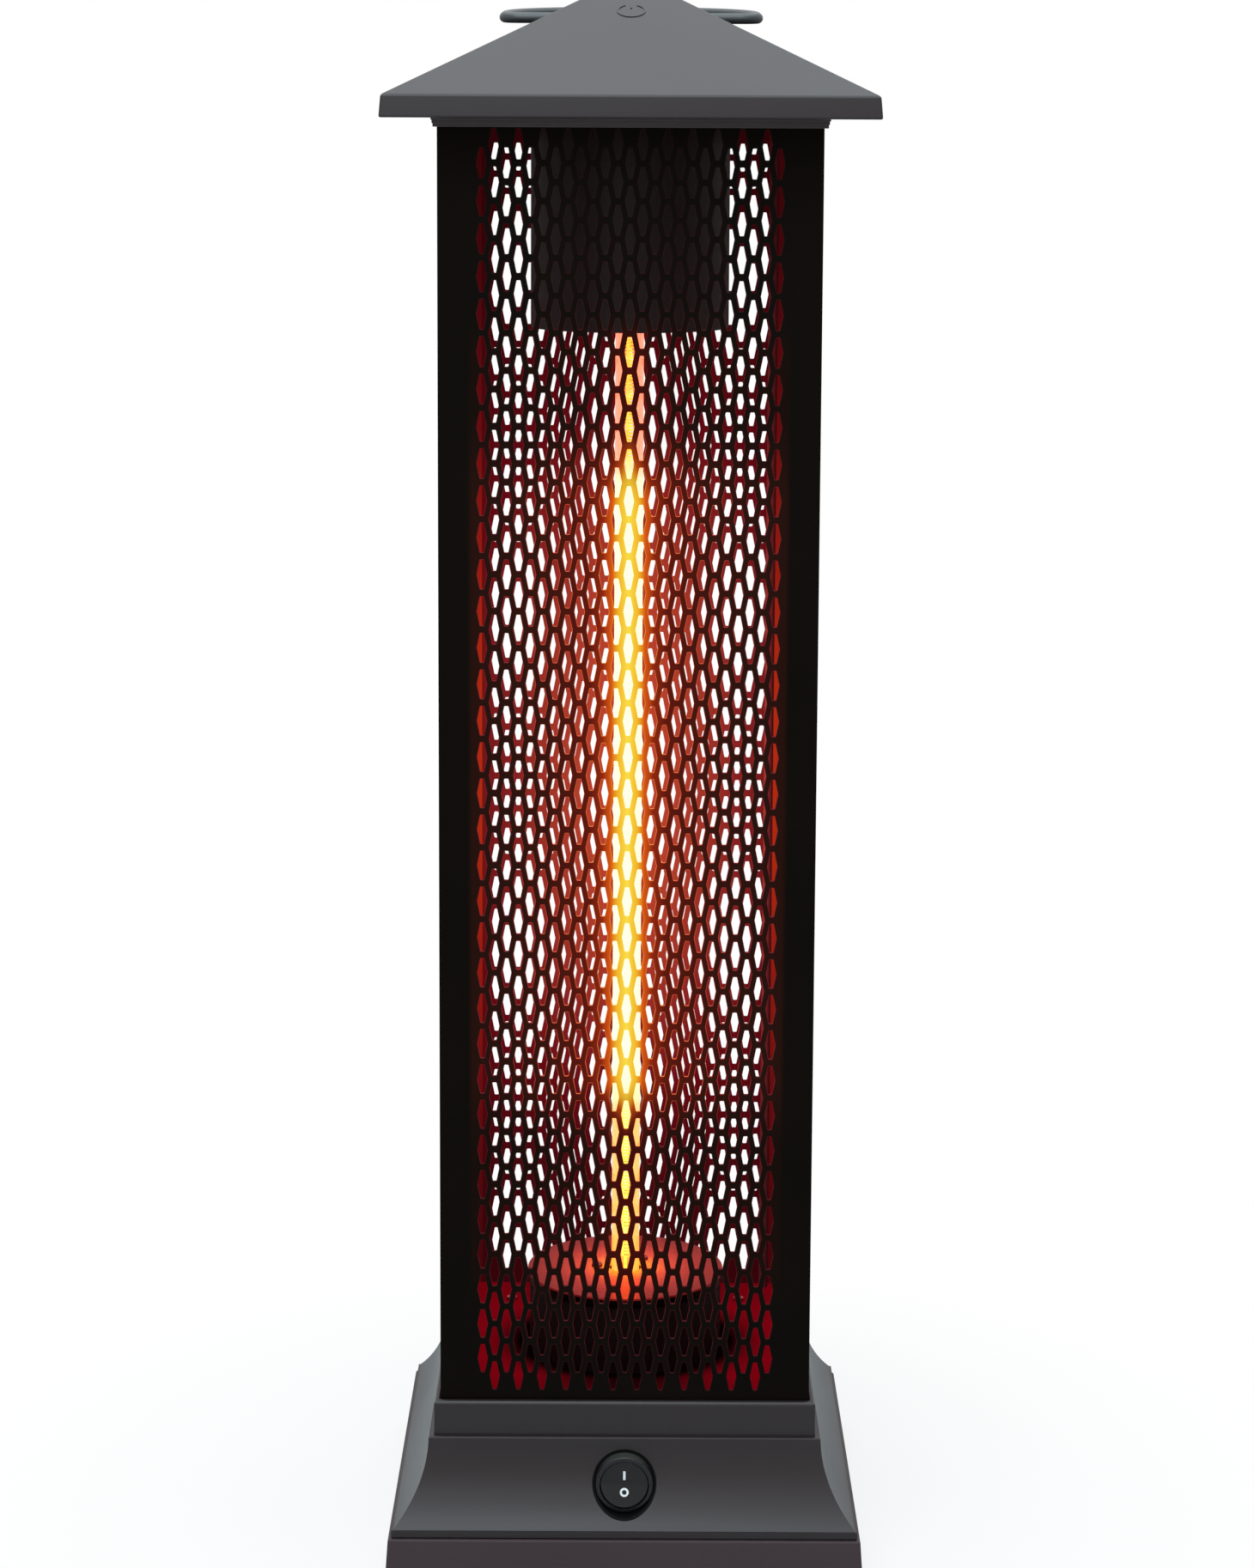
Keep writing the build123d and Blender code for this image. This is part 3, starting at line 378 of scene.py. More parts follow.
def make_switch_black():
    made, tree, shader, place = start_material("switch_black", 0.32, 0.2)
    add_grain(tree, shader, place, srgb(31, 29, 30), srgb(34, 32, 33), 1800.0, 30.0, 0.06, (0.28, 0.36))
    # walls that face up get painted light from above, and are lighter
    facing = split(tree, tree.nodes.new("ShaderNodeNewGeometry").outputs["Normal"])
    painted_top_light = smooth_step(tree, facing["Z"], 0.45, 0.95)
    tone = shader.inputs["Base Color"].links[0].from_socket
    tree.links.new(mix_colour(tree, painted_top_light, tone, srgb(60, 61, 57)), shader.inputs["Base Color"])
    return made


switch_black = make_switch_black()
print("Plain finishes:", len(bpy.data.materials))

# %% [markdown]
# ### Black perforated sheet
# Outside, the sheets are matt black paint. Inside they catch the lamp, so the same material adds
# red light on every point that lies behind the outer face. Where the lamp is brightest, its glare
# also spills over the nearest webs, from yellow at the middle column to dark red a few columns
# away. Both come from the place of the point alone, so they stay put from every side.

# %% Sheet material
# sideways, the glare spreads this far, and it ends a little past the punched field
GLARE_REACH = 0.075
FIELD_END = (0.0735, 0.0765)
# heights between which the webs before the lamp rise to full heat and fall again
WEBS_HOT = (0.218, 0.254, 0.530, 0.578)
WEBS_WARM = (0.136, 0.166, 0.598, 0.622)
# the lamp's middle, how far from it the rims begin to grow faint, and over what length
LAMP_MIDDLE, FAINT_FROM, FAINT_OVER = 0.370, 0.237, 0.1
# how far the glare's colours move toward red where the hot part ends
RED_SHIFT = 0.16
# distances from the Z axis that tell the outer face, a hole's wall and the inner face apart
HOLE_WALL = (0.08975, 0.08999)
INNER_SIDE = (0.08885, 0.08895)
HOT_GLARE = [
    (0.00, srgb(250, 220, 70)), (0.06, srgb(241, 182, 40)), (0.105, srgb(214, 84, 8)),
    (0.16, srgb(140, 34, 6)), (0.24, srgb(92, 16, 3)), (0.35, srgb(76, 12, 3)),
    (0.52, srgb(50, 10, 4)), (0.78, srgb(34, 7, 3)), (1.00, srgb(30, 5, 2)),
]
COOL_GLARE = [
    (0.00, srgb(62, 2, 0)), (0.10, srgb(52, 3, 0)), (0.16, srgb(34, 3, 0)), (0.35, srgb(22, 2, 0)),
    (0.78, srgb(13, 1, 0)), (1.00, srgb(12, 1, 0)),
]
HOT_RIM = [
    (0.00, srgb(255, 226, 90)), (0.10, srgb(255, 162, 66)), (0.25, srgb(255, 118, 66)),
    (0.50, srgb(222, 84, 62)), (0.75, srgb(142, 42, 50)), (1.00, srgb(108, 28, 40)),
]
COOL_RIM = [(0.00, srgb(126, 30, 28)), (0.40, srgb(104, 28, 34)), (1.00, srgb(76, 16, 26))]
FAINT_RIM = [(0.0, srgb(92, 24, 30)), (0.25, srgb(58, 12, 19)), (1.0, srgb(28, 8, 10))]
LIT_COLOURS = [
    (0.00, srgb(30, 2, 6)), (0.20, srgb(70, 4, 12)), (0.40, srgb(98, 6, 17)),
    (0.60, srgb(136, 32, 32)), (0.80, srgb(176, 60, 42)), (1.00, srgb(206, 70, 38)),
]


def heat_strength(tree, level, low, low_end, high_end, high):
    """1 in the hot part of the lamp's height, and 0 past both its ends."""
    rise = smooth_step(tree, level, low, low_end)
    fall = rest_of(tree, smooth_step(tree, level, high_end, high))
    return calc(tree, "MULTIPLY", rise, fall)


def make_sheet_black():
    made, tree, shader, place = start_material("sheet_black", 0.6, 0.02)
    add_grain(tree, shader, place, srgb(14, 10, 7), srgb(17, 12, 9), 1800.0, 14.0, 0.2)
    lamp = lamp_sockets(tree, place)
    lit = ramp(tree, lamp["Light"], LIT_COLOURS)
    hot = heat_strength(tree, lamp["Level"], *WEBS_HOT)
    warm = heat_strength(tree, lamp["Level"], *WEBS_WARM)
    reach = calc(tree, "DIVIDE", lamp["Across"], GLARE_REACH)
    field = rest_of(tree, smooth_step(tree, lamp["Across"], *FIELD_END))
    warm_field = calc(tree, "MULTIPLY", warm, field)
    cool_glare = mix_colour(tree, warm_field, BLACK, ramp(tree, reach, COOL_GLARE))
    # over the cups the rims grow fainter away from the lamp
    from_middle = calc(tree, "ABSOLUTE", calc(tree, "SUBTRACT", lamp["Level"], LAMP_MIDDLE))
    past_lamp = calc(tree, "SUBTRACT", from_middle, FAINT_FROM)
    faint_rim = ramp(tree, calc(tree, "DIVIDE", past_lamp, FAINT_OVER), FAINT_RIM)
    cool_rim = mix_colour(tree, warm, faint_rim, ramp(tree, reach, COOL_RIM))
    hot_field = calc(tree, "MULTIPLY", hot, field)
    # where the hot part ends, its glare is red at the middle too
    redder = calc(tree, "MULTIPLY_ADD", rest_of(tree, hot), RED_SHIFT, reach)
    glare = mix_colour(tree, hot_field, cool_glare, ramp(tree, redder, HOT_GLARE))
    rim = mix_colour(tree, hot_field, cool_rim, ramp(tree, redder, HOT_RIM))
    # the chamfer and the wall of a hole lie behind the outer face, on the punched field alone
    edge = rest_of(tree, smooth_step(tree, lamp["Depth"], *HOLE_WALL))
    edge = calc(tree, "MULTIPLY", edge, field)
    inside = rest_of(tree, smooth_step(tree, lamp["Depth"], *INNER_SIDE))
    outer = mix_colour(tree, edge, glare, rim)
    glow(tree, shader, mix_colour(tree, inside, outer, lit))
    return made


sheet_black = make_sheet_black()
print("Sheet material", sheet_black.name)

# %% [markdown]
# ### Inner black parts, floor and bright disc
# The cups, the posts and the floor share the black paint, with the lamp's light painted on. The
# upper cup's warmer, lighter copy of the paint is painted lamp light, the lower cup's darker one is
# painted shade, and the red tint of the lit zinc is painted lamp light too. The disc is bare metal
# that mirrors the lamp; its red base colour and the painted lamp light make it much lighter, and a
# painted reflection makes it orange at the foot of the tube.

# %% Inner materials
# how far to the front and the rear the floor passes into the shade of the cup
SHADE_BEGINS = (0.045, 0.065)
FLOOR_LIGHT = [
    (0.0, BLACK), (0.05, srgb(34, 0, 4)), (0.12, srgb(84, 0, 9)), (0.22, srgb(118, 0, 13)),
    (0.3, srgb(142, 2, 17)), (1.0, srgb(190, 40, 20)),
]
CUP_LIGHT = [(0.0, BLACK), (0.3, srgb(70, 5, 9)), (1.0, srgb(118, 22, 16))]
POST_LIGHT = [
    (0.0, srgb(32, 3, 5)), (0.12, srgb(74, 7, 12)), (0.26, srgb(104, 11, 14)),
    (0.4, srgb(148, 26, 14)), (0.5, srgb(188, 48, 14)), (1.0, srgb(214, 70, 20)),
]
DISC_SHINE = [
    (0.16, srgb(255, 170, 30)), (0.29, srgb(255, 116, 42)), (0.42, srgb(208, 66, 42)),
    (0.70, srgb(134, 30, 27)), (1.0, srgb(80, 16, 19)),
]


def make_lit_finish(name, colour, other, roughness, specular, lit, metallic=0.0):
    made, tree, shader, place = start_material(name, roughness, specular, metallic)
    add_grain(tree, shader, place, colour, other, 1500.0, 20.0, 0.2)
    glow(tree, shader, ramp(tree, lamp_sockets(tree, place)["Light"], lit))
    return made


def make_floor_black():
    made, tree, shader, place = start_material("floor_black", 0.6, 0.0)
    add_grain(tree, shader, place, srgb(16, 6, 7), srgb(20, 8, 9), 1500.0, 20.0, 0.2)
    light = lamp_sockets(tree, place)["Light"]
    # the strip before the cup, and the one behind it, lie in the shade of the cup
    across, along = (calc(tree, "ABSOLUTE", split(tree, place)[axis]) for axis in ("X", "Y"))
    open_share = calc(tree, "MULTIPLY_ADD", across, 12.0, 0.2, clamp=True)
    in_strip = smooth_step(tree, along, *SHADE_BEGINS)
    shade = calc(tree, "MULTIPLY", in_strip, rest_of(tree, open_share))
    light = calc(tree, "MULTIPLY", light, rest_of(tree, shade))
    glow(tree, shader, ramp(tree, light, FLOOR_LIGHT))
    return made


def make_bright_disc():
    made, tree, shader, place = start_material("bright_disc", 0.3, 0.5, 1.0)
    # seen from the side, what it mirrors gets a painted warm tint of the lamp's light
    shader.inputs["Specular Tint"].default_value = (1.0, 0.74, 0.71, 1.0)
    lamp = lamp_sockets(tree, place)
    # its red base colour is painted lamp light on bare metal
    grain = add_grain(tree, shader, place, srgb(142, 24, 18), srgb(156, 31, 23), 900.0, 60.0, 0.5)
    reach = calc(tree, "DIVIDE", lamp["Radius"], LAMP_SHADE)
    speck = calc(tree, "MULTIPLY", calc(tree, "SUBTRACT", grain.outputs["Height"], 0.5), 0.5)
    # painted lamp light, with a painted reflection orange and yellow near the foot of the tube, speckled
    # by the grain
    shine = ramp(tree, calc(tree, "ADD", reach, speck), DISC_SHINE)
    # only its top gets the painted light, and its skirt, in the shade, gets a painted dark colour
    top = smooth_step(tree, lamp["Level"], LAMP_FROM - 1.2 * MM, LAMP_FROM - 0.6 * MM)
    tone = shader.inputs["Base Color"].links[0].from_socket
    tree.links.new(mix_colour(tree, top, srgb(12, 5, 5), tone), shader.inputs["Base Color"])
    glow(tree, shader, mix_colour(tree, top, BLACK, shine))
    return made


# the upper cup's warmer, lighter base colour is painted lamp light, and the lower cup's darker one
# painted shade, on one black paint
upper_black_lit = make_lit_finish(
    "upper_black_lit", srgb(37, 26, 24), srgb(42, 30, 28), 0.5, 0.25, CUP_LIGHT)
lower_black_shaded = make_lit_finish(
    "lower_black_shaded", srgb(26, 14, 14), srgb(30, 17, 16), 0.6, 0.1, CUP_LIGHT)
floor_black = make_floor_black()
post_black = make_lit_finish(
    "post_black", srgb(18, 11, 10), srgb(22, 14, 13), 0.5, 0.0, POST_LIGHT)
lit_zinc = make_lit_finish(
    "lit_zinc", srgb(96, 50, 48), srgb(112, 60, 56), 0.35, 0.5, FLOOR_LIGHT, metallic=1.0)
glass_braid = make_lit_finish(
    "glass_braid", srgb(70, 44, 40), srgb(84, 54, 48), 0.8, 0.2, LIT_COLOURS)
bright_disc = make_bright_disc()
print("Inner materials ready")

# %% [markdown]
# ### Lamp: quartz tube and glowing coil
# The coil is near white in its middle, where it is hottest, and yellow to orange toward the
# ends. The quartz tube is clear, with a salmon glow of its own, and in the hot part it is lost in
# the light. Clear quartz is given as a thin, see-through skin, so the coil stays sharp behind it.

# %% Lamp materials
HOT_PART = (0.202, 0.238, 0.519, 0.551)
UPPER_END = (0.25, 0.45)


def make_coil():
    made, tree, shader, place = start_material("glowing_coil", 0.6, 0.2)
    shader.inputs["Base Color"].default_value = srgb(120, 60, 30)
    level = split(tree, place)["Z"]
    grain = add_node(tree, "ShaderNodeTexNoise", {"Vector": place, "Scale": 260.0, "Detail": 2.0})
    upper = ramp(tree, grain.outputs["Fac"], [(0.3, srgb(255, 146, 14)), (0.7, srgb(255, 190, 44))])
    lower = ramp(tree, grain.outputs["Fac"], [(0.3, srgb(255, 196, 30)), (0.7, srgb(255, 232, 84))])
    warm = mix_colour(tree, smooth_step(tree, level, *UPPER_END), lower, upper)
    hot = mix_colour(tree, heat_strength(tree, level, *HOT_PART), warm, srgb(255, 244, 214))
    glow(tree, shader, hot, 2.0)
    return made


def make_quartz():
    made, tree, shader, place = start_material("quartz", 0.06, 0.5)
    shader.inputs["Base Color"].default_value = srgb(255, 214, 196)
    level = split(tree, place)["Z"]
    hot = heat_strength(tree, level, *HOT_PART)
    upper_end = smooth_step(tree, level, *UPPER_END)
    cool = mix_colour(tree, upper_end, srgb(252, 166, 44), srgb(250, 126, 92))
    glow(tree, shader, mix_colour(tree, hot, cool, srgb(255, 253, 200)))
    # a tube is clearest in its middle, where the wall is crossed straight
    wall = tree.nodes.new("ShaderNodeLayerWeight")
    wall.inputs["Blend"].default_value = 0.5
    skin = add_node(tree, "ShaderNodeMapRange", {
        "Value": wall.outputs["Facing"], "From Min": 0.02, "From Max": 0.35,
        "To Min": 0.1, "To Max": 0.62})
    alpha = calc(tree, "MAXIMUM", skin.outputs["Result"], calc(tree, "MULTIPLY", hot, 0.9))
    tree.links.new(alpha, shader.inputs["Alpha"])
    return made


glowing_coil = make_coil()
quartz = make_quartz()
print("Lamp materials ready")

# %% [markdown]
# ## Copies of moulded pieces with softened edges
# A CAD solid has knife-sharp edges, and a real moulding doesn't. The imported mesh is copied, its
# doubled corners are merged and its flat faces are cleaned, and a Bevel modifier rounds the long
# outer edges by up to a millimetre, so that they catch the light.

# %% Softened copies
# in degrees: the least bend that is shaded as a crease, and the least that is rounded
CREASE_ANGLE = 35
SHARP_ANGLE = 30
# shorter edges stay sharp
LONG_EDGE = 8 * MM


def link_mesh(name, mesh):
    made = bpy.data.objects.new(name, mesh)
    bpy.context.scene.collection.objects.link(made)
    return made


def plain_mesh(made):
    """Turns an object with modifiers into one with their result as its own mesh."""
    ready = made.evaluated_get(bpy.context.evaluated_depsgraph_get())
    mesh = bpy.data.meshes.new_from_object(ready)
    made.modifiers.clear()
    old = made.data
    made.data = mesh
    bpy.data.meshes.remove(old)
    mesh.name = made.name
    return made


def merged_copy(name, node):
    """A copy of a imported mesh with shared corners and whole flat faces, to work on."""
    work = bmesh.new()
    work.from_mesh(nodes[node].data)
    bmesh.ops.remove_doubles(work, verts=work.verts, dist=0.002 * MM)
    bmesh.ops.dissolve_limit(
        work, angle_limit=math.radians(0.3), verts=work.verts, edges=work.edges, delimit={"NORMAL"})
    return link_mesh(name, bpy.data.meshes.new(name)), work


def take_over(made, material, slot, body, *replaced):
    made.data.materials.clear()
    made.data.materials.append(material)
    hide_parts(*replaced)
    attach(made, body)
    print(made.name, len(made.data.polygons), "faces")


def outer_edges(work, sharp_band):
    """The long, convex, sharp edges from which a straight line leads away from the piece."""
    tree = BVHTree.FromBMesh(work)
    found = set()
    for edge in work.edges:
        if len(edge.link_faces) != 2 or edge.calc_length() < LONG_EDGE or not edge.is_convex:
            continue
        if edge.calc_face_angle(0.0) < math.radians(SHARP_ANGLE):
            continue
        outward = (edge.link_faces[0].normal + edge.link_faces[1].normal).normalized()
        middle = (edge.verts[0].co + edge.verts[1].co) / 2
        if sharp_band[0] < middle.z < sharp_band[1]:
            continue
        if tree.ray_cast(middle + outward * 0.05 * MM, outward)[0] is None:
            found.add(edge)
    return found


def shaded_by_angle(made):
    """Smooth faces, with a crease wherever two of them meet at more than an angle."""
    work = bmesh.new()
    work.from_mesh(made.data)
    for face in work.faces:
        face.smooth = True
    for edge in work.edges:
        edge.smooth = edge.calc_face_angle(0.0) < math.radians(CREASE_ANGLE)
    work.to_mesh(made.data)
    work.free()


def softened(name, node, material, slot, width, segments=3, sharp_band=(0, 0)):
    """Rounds the long outer edges of a moulding, apart from those in a band of heights."""
    made, work = merged_copy(name, node)
    weights = work.edges.layers.float.new("bevel_weight_edge")
    rounded = outer_edges(work, sharp_band)
    for edge in rounded:
        edge[weights] = 1.0
    work.to_mesh(made.data)
    work.free()
    bevel = made.modifiers.new("edges", "BEVEL")
    bevel.width = width
    bevel.segments = segments
    bevel.limit_method = "WEIGHT"
    bevel.use_clamp_overlap = False
    plain_mesh(made)
    shaded_by_angle(made)
    made.modifiers.new("normals", "WEIGHTED_NORMAL").keep_sharp = True
    plain_mesh(made)
    print(name, len(rounded), "edges rounded by", width / MM, "mm")
    take_over(made, material, slot, "heater", node)


def smoothed(name, node, material, slot, body="heater"):
    """A round piece as packed, shaded smooth."""
    made, work = merged_copy(name, node)
    work.to_mesh(made.data)
    work.free()
    shaded_by_angle(made)
    take_over(made, material, slot, body, node)


softened("roof", "roof_shell", satin_grey, "satin_grey", 1.0 * MM)
softened("base_moulding", "base_cover", satin_grey, "satin_grey", 0.8 * MM, 3, (32 * MM, 34.5 * MM))
softened("plinth", "plinth_tray", tray_grey, "satin_grey", 1.0 * MM)
softened("stepped_collar", "top_collar", collar_grey, "black_sheet", 0.3 * MM, 2)
smoothed("recess_liner", "switch_well", recess_black_shade, "black_plastic")
smoothed("switch_barrel", "switch_housing", switch_black, "black_plastic")
smoothed("rocker_button", "switch_rocker", switch_black, "black_plastic", body="rocker")
smoothed("carrying_bail", "handle_bail", rod_black, "painted_rod", body="handle")
smoothed("lamp_glass", "lamp_tube", quartz, "quartz")
smoothed("upper_shade", "upper_cup", upper_black_lit, "black_sheet")
smoothed("lower_shade", "lower_cup", lower_black_shaded, "black_sheet")

# %% [markdown]
# The heads of the screws under the eaves are flat pan heads, which don't show below the fascia.

# %% Eave screws
HEAD_SHARE = 0.3


def eave_screws():
    made, work = merged_copy("eave_screws", "roof_screws")
    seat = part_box("roof_soffit")[0].z
    for corner in work.verts:
        if corner.co.z < seat:
            corner.co.z = seat - (seat - corner.co.z) * HEAD_SHARE
    work.to_mesh(made.data)
    work.free()
    take_over(made, hidden_black, "zinc_screw", "heater", "roof_screws")


eave_screws()

# %% [markdown]
# ## Geometry Nodes helpers
# A tree gets named inputs for its sizes. `grow` puts the tree on an object, sets the inputs by
# their socket identifiers, and keeps the result as a plain mesh, so nothing is left to evaluate.

# %% Geometry Nodes helpers
GEOMETRY, INTEGER, MATERIAL = "NodeSocketGeometry", "NodeSocketInt", "NodeSocketMaterial"
WELD_DISTANCE = 0.01 * MM


def grow(name, tree, values, mesh=None):
    made = link_mesh(name, mesh or bpy.data.meshes.new(name))
    modifier = made.modifiers.new("tree", "NODES")
    modifier.node_group = tree
    for item in tree.interface.items_tree:
        if item.in_out == "INPUT" and item.name in values:
            modifier[item.identifier] = values[item.name]
    return plain_mesh(made)


def finish_tree(tree, geometry, material, end):
    """Realize Instances and Set Material close every tree."""
    solid = add_node(tree, "GeometryNodeRealizeInstances", {"Geometry": geometry})
    painted = add_node(tree, "GeometryNodeSetMaterial", {
        "Geometry": solid.outputs[0], "Material": material})
    tree.links.new(painted.outputs[0], end.inputs["Geometry"])


def point(tree, x=0.0, y=0.0, z=0.0):
    return add_node(tree, "ShaderNodeCombineXYZ", {"X": x, "Y": y, "Z": z}).outputs[0]


def places_of_points(tree):
    """The X, Y and Z of each point."""
    return split(tree, tree.nodes.new("GeometryNodeInputPosition").outputs[0])


def moved(tree, geometry, translation=None, rotation=None, scale=None):
    inputs = {"Geometry": geometry}
    for label, value in (("Translation", translation), ("Rotation", rotation), ("Scale", scale)):
        if value is not None:
            inputs[label] = value
    return add_node(tree, "GeometryNodeTransform", inputs).outputs[0]


def joined(tree, *parts):
    node = tree.nodes.new("GeometryNodeJoinGeometry")
    for part in reversed(parts):
        tree.links.new(part, node.inputs[0])
    return node.outputs[0]


def shifted(tree, geometry, offset, selection=True):
    """Moves points, each by its own offset."""
    return add_node(tree, "GeometryNodeSetPosition", {
        "Geometry": geometry, "Selection": selection, "Offset": offset}).outputs[0]


def drawn_up(tree, mesh, depth, selection=True):
    """Draws edges up along Z. Its outputs are the mesh and where the new edges are."""
    return add_node(tree, "GeometryNodeExtrudeMesh", {
        "Mesh": mesh, "Selection": selection, "Offset": point(tree, 0.0, 0.0, depth),
        "Offset Scale": 1.0}, mode="EDGES").outputs


def welded(tree, geometry):
    return add_node(tree, "GeometryNodeMergeByDistance", {
        "Geometry": geometry, "Distance": WELD_DISTANCE}).outputs[0]


print("Geometry Nodes helpers ready")

# %% [markdown]
# ## The four perforated sheets
# Each sheet is black steel, punched with staggered columns of long hexagons: 25 columns, with 34
# and 35 holes in turn, 862 in all. One cell is made once and set on two grids of points, one for
# each kind of column. It has a front and a back layer round its hole, the wall of the hole, and
# the small chamfer that a punch leaves at the front, which catches the light of the lamp. Plain
# strips close the border. All corners of neighbouring cells meet, so Merge by Distance makes one
# closed shell of them.

# %% Hole of a sheet
PATTERN_MIDDLE = 0.4015
SHEET_SIZES = {
    "Column Pitch": 5.78 * MM, "Row Pitch": 17.55 * MM, "Column Pairs": 12, "Rows": 35,
    "Hole Width": 4.75 * MM, "Hole Height": 14.15 * MM, "End Width": 1.9 * MM,
    "End Rounding": 0.4 * MM, "Edge Chamfer": 0.3 * MM,
}


def hole_curve(tree, value):
    """A hexagon with a sharp waist, narrow ends and slightly rounded corners."""
    half_wide = calc(tree, "MULTIPLY", value["Hole Width"], 0.5)
    half_tall = calc(tree, "MULTIPLY", value["Hole Height"], 0.5)
    tall = calc(tree, "DIVIDE", half_tall, math.sin(math.radians(60)))
    ring = add_node(tree, "GeometryNodeCurvePrimitiveCircle", {"Resolution": 6, "Radius": 1.0})
    ring = moved(tree, ring.outputs[0], scale=point(tree, half_wide, tall, 1.0))
    place = places_of_points(tree)
    # of the six corners, the two at the waist stay, and the other four go inward
    at_end = calc(tree, "GREATER_THAN", calc(tree, "ABSOLUTE", place["Y"]), 0.001)
    narrowing = calc(tree, "SUBTRACT", calc(tree, "DIVIDE", value["End Width"], half_wide), 1.0)
    inward = calc(tree, "MULTIPLY", calc(tree, "MULTIPLY", place["X"], narrowing), at_end)
    return add_node(tree, "GeometryNodeFilletCurve", {
        "Curve": shifted(tree, ring, point(tree, inward)), "Count": 2,
        "Radius": value["End Rounding"], "Limit Radius": True}, mode="POLY").outputs[0]


def filled(tree, *curves):
    """A flat face between curves."""
    return add_node(tree, "GeometryNodeFillCurve", {
        "Curve": joined(tree, *curves)}, mode="NGONS").outputs[0]


def punched_cell(tree, value):
    """Both layers of one cell, with the wall and the front chamfer of its hole."""
    border = add_node(tree, "GeometryNodeCurvePrimitiveQuadrilateral", {
        "Width": value["Column Pitch"], "Height": value["Row Pitch"]})
    border = add_node(tree, "GeometryNodeSubdivideCurve", {
        "Curve": border.outputs[0], "Cuts": 1}).outputs[0]
    hole = hole_curve(tree, value)
    chamfer = value["Edge Chamfer"]
    both_chamfers = calc(tree, "MULTIPLY", chamfer, 2.0)
    wider = [
        calc(tree, "ADD", 1.0, calc(tree, "DIVIDE", both_chamfers, value[side]))
        for side in ("Hole Width", "Hole Height")
    ]
    wide_hole = moved(tree, hole, scale=point(tree, *wider, 1.0))
    back = filled(tree, border, hole)
    front = moved(tree, filled(tree, border, wide_hole), point(tree, 0.0, 0.0, value["Thickness"]))
    loop = add_node(tree, "GeometryNodeCurveToMesh", {"Curve": hole}).outputs[0]
    wall = drawn_up(tree, loop, calc(tree, "SUBTRACT", value["Thickness"], chamfer))
    slope = drawn_up(tree, wall["Mesh"], chamfer, wall["Top"])
    place = places_of_points(tree)
    outward = [
        calc(tree, "MULTIPLY", place[axis], calc(tree, "SUBTRACT", share, 1.0))
        for axis, share in zip("XY", wider)
    ]
    return joined(tree, back, front, shifted(tree, slope["Mesh"], point(tree, *outward), slope["Top"]))


print("Hole", SHEET_SIZES["Hole Width"] / MM, "x", SHEET_SIZES["Hole Height"] / MM, "mm")

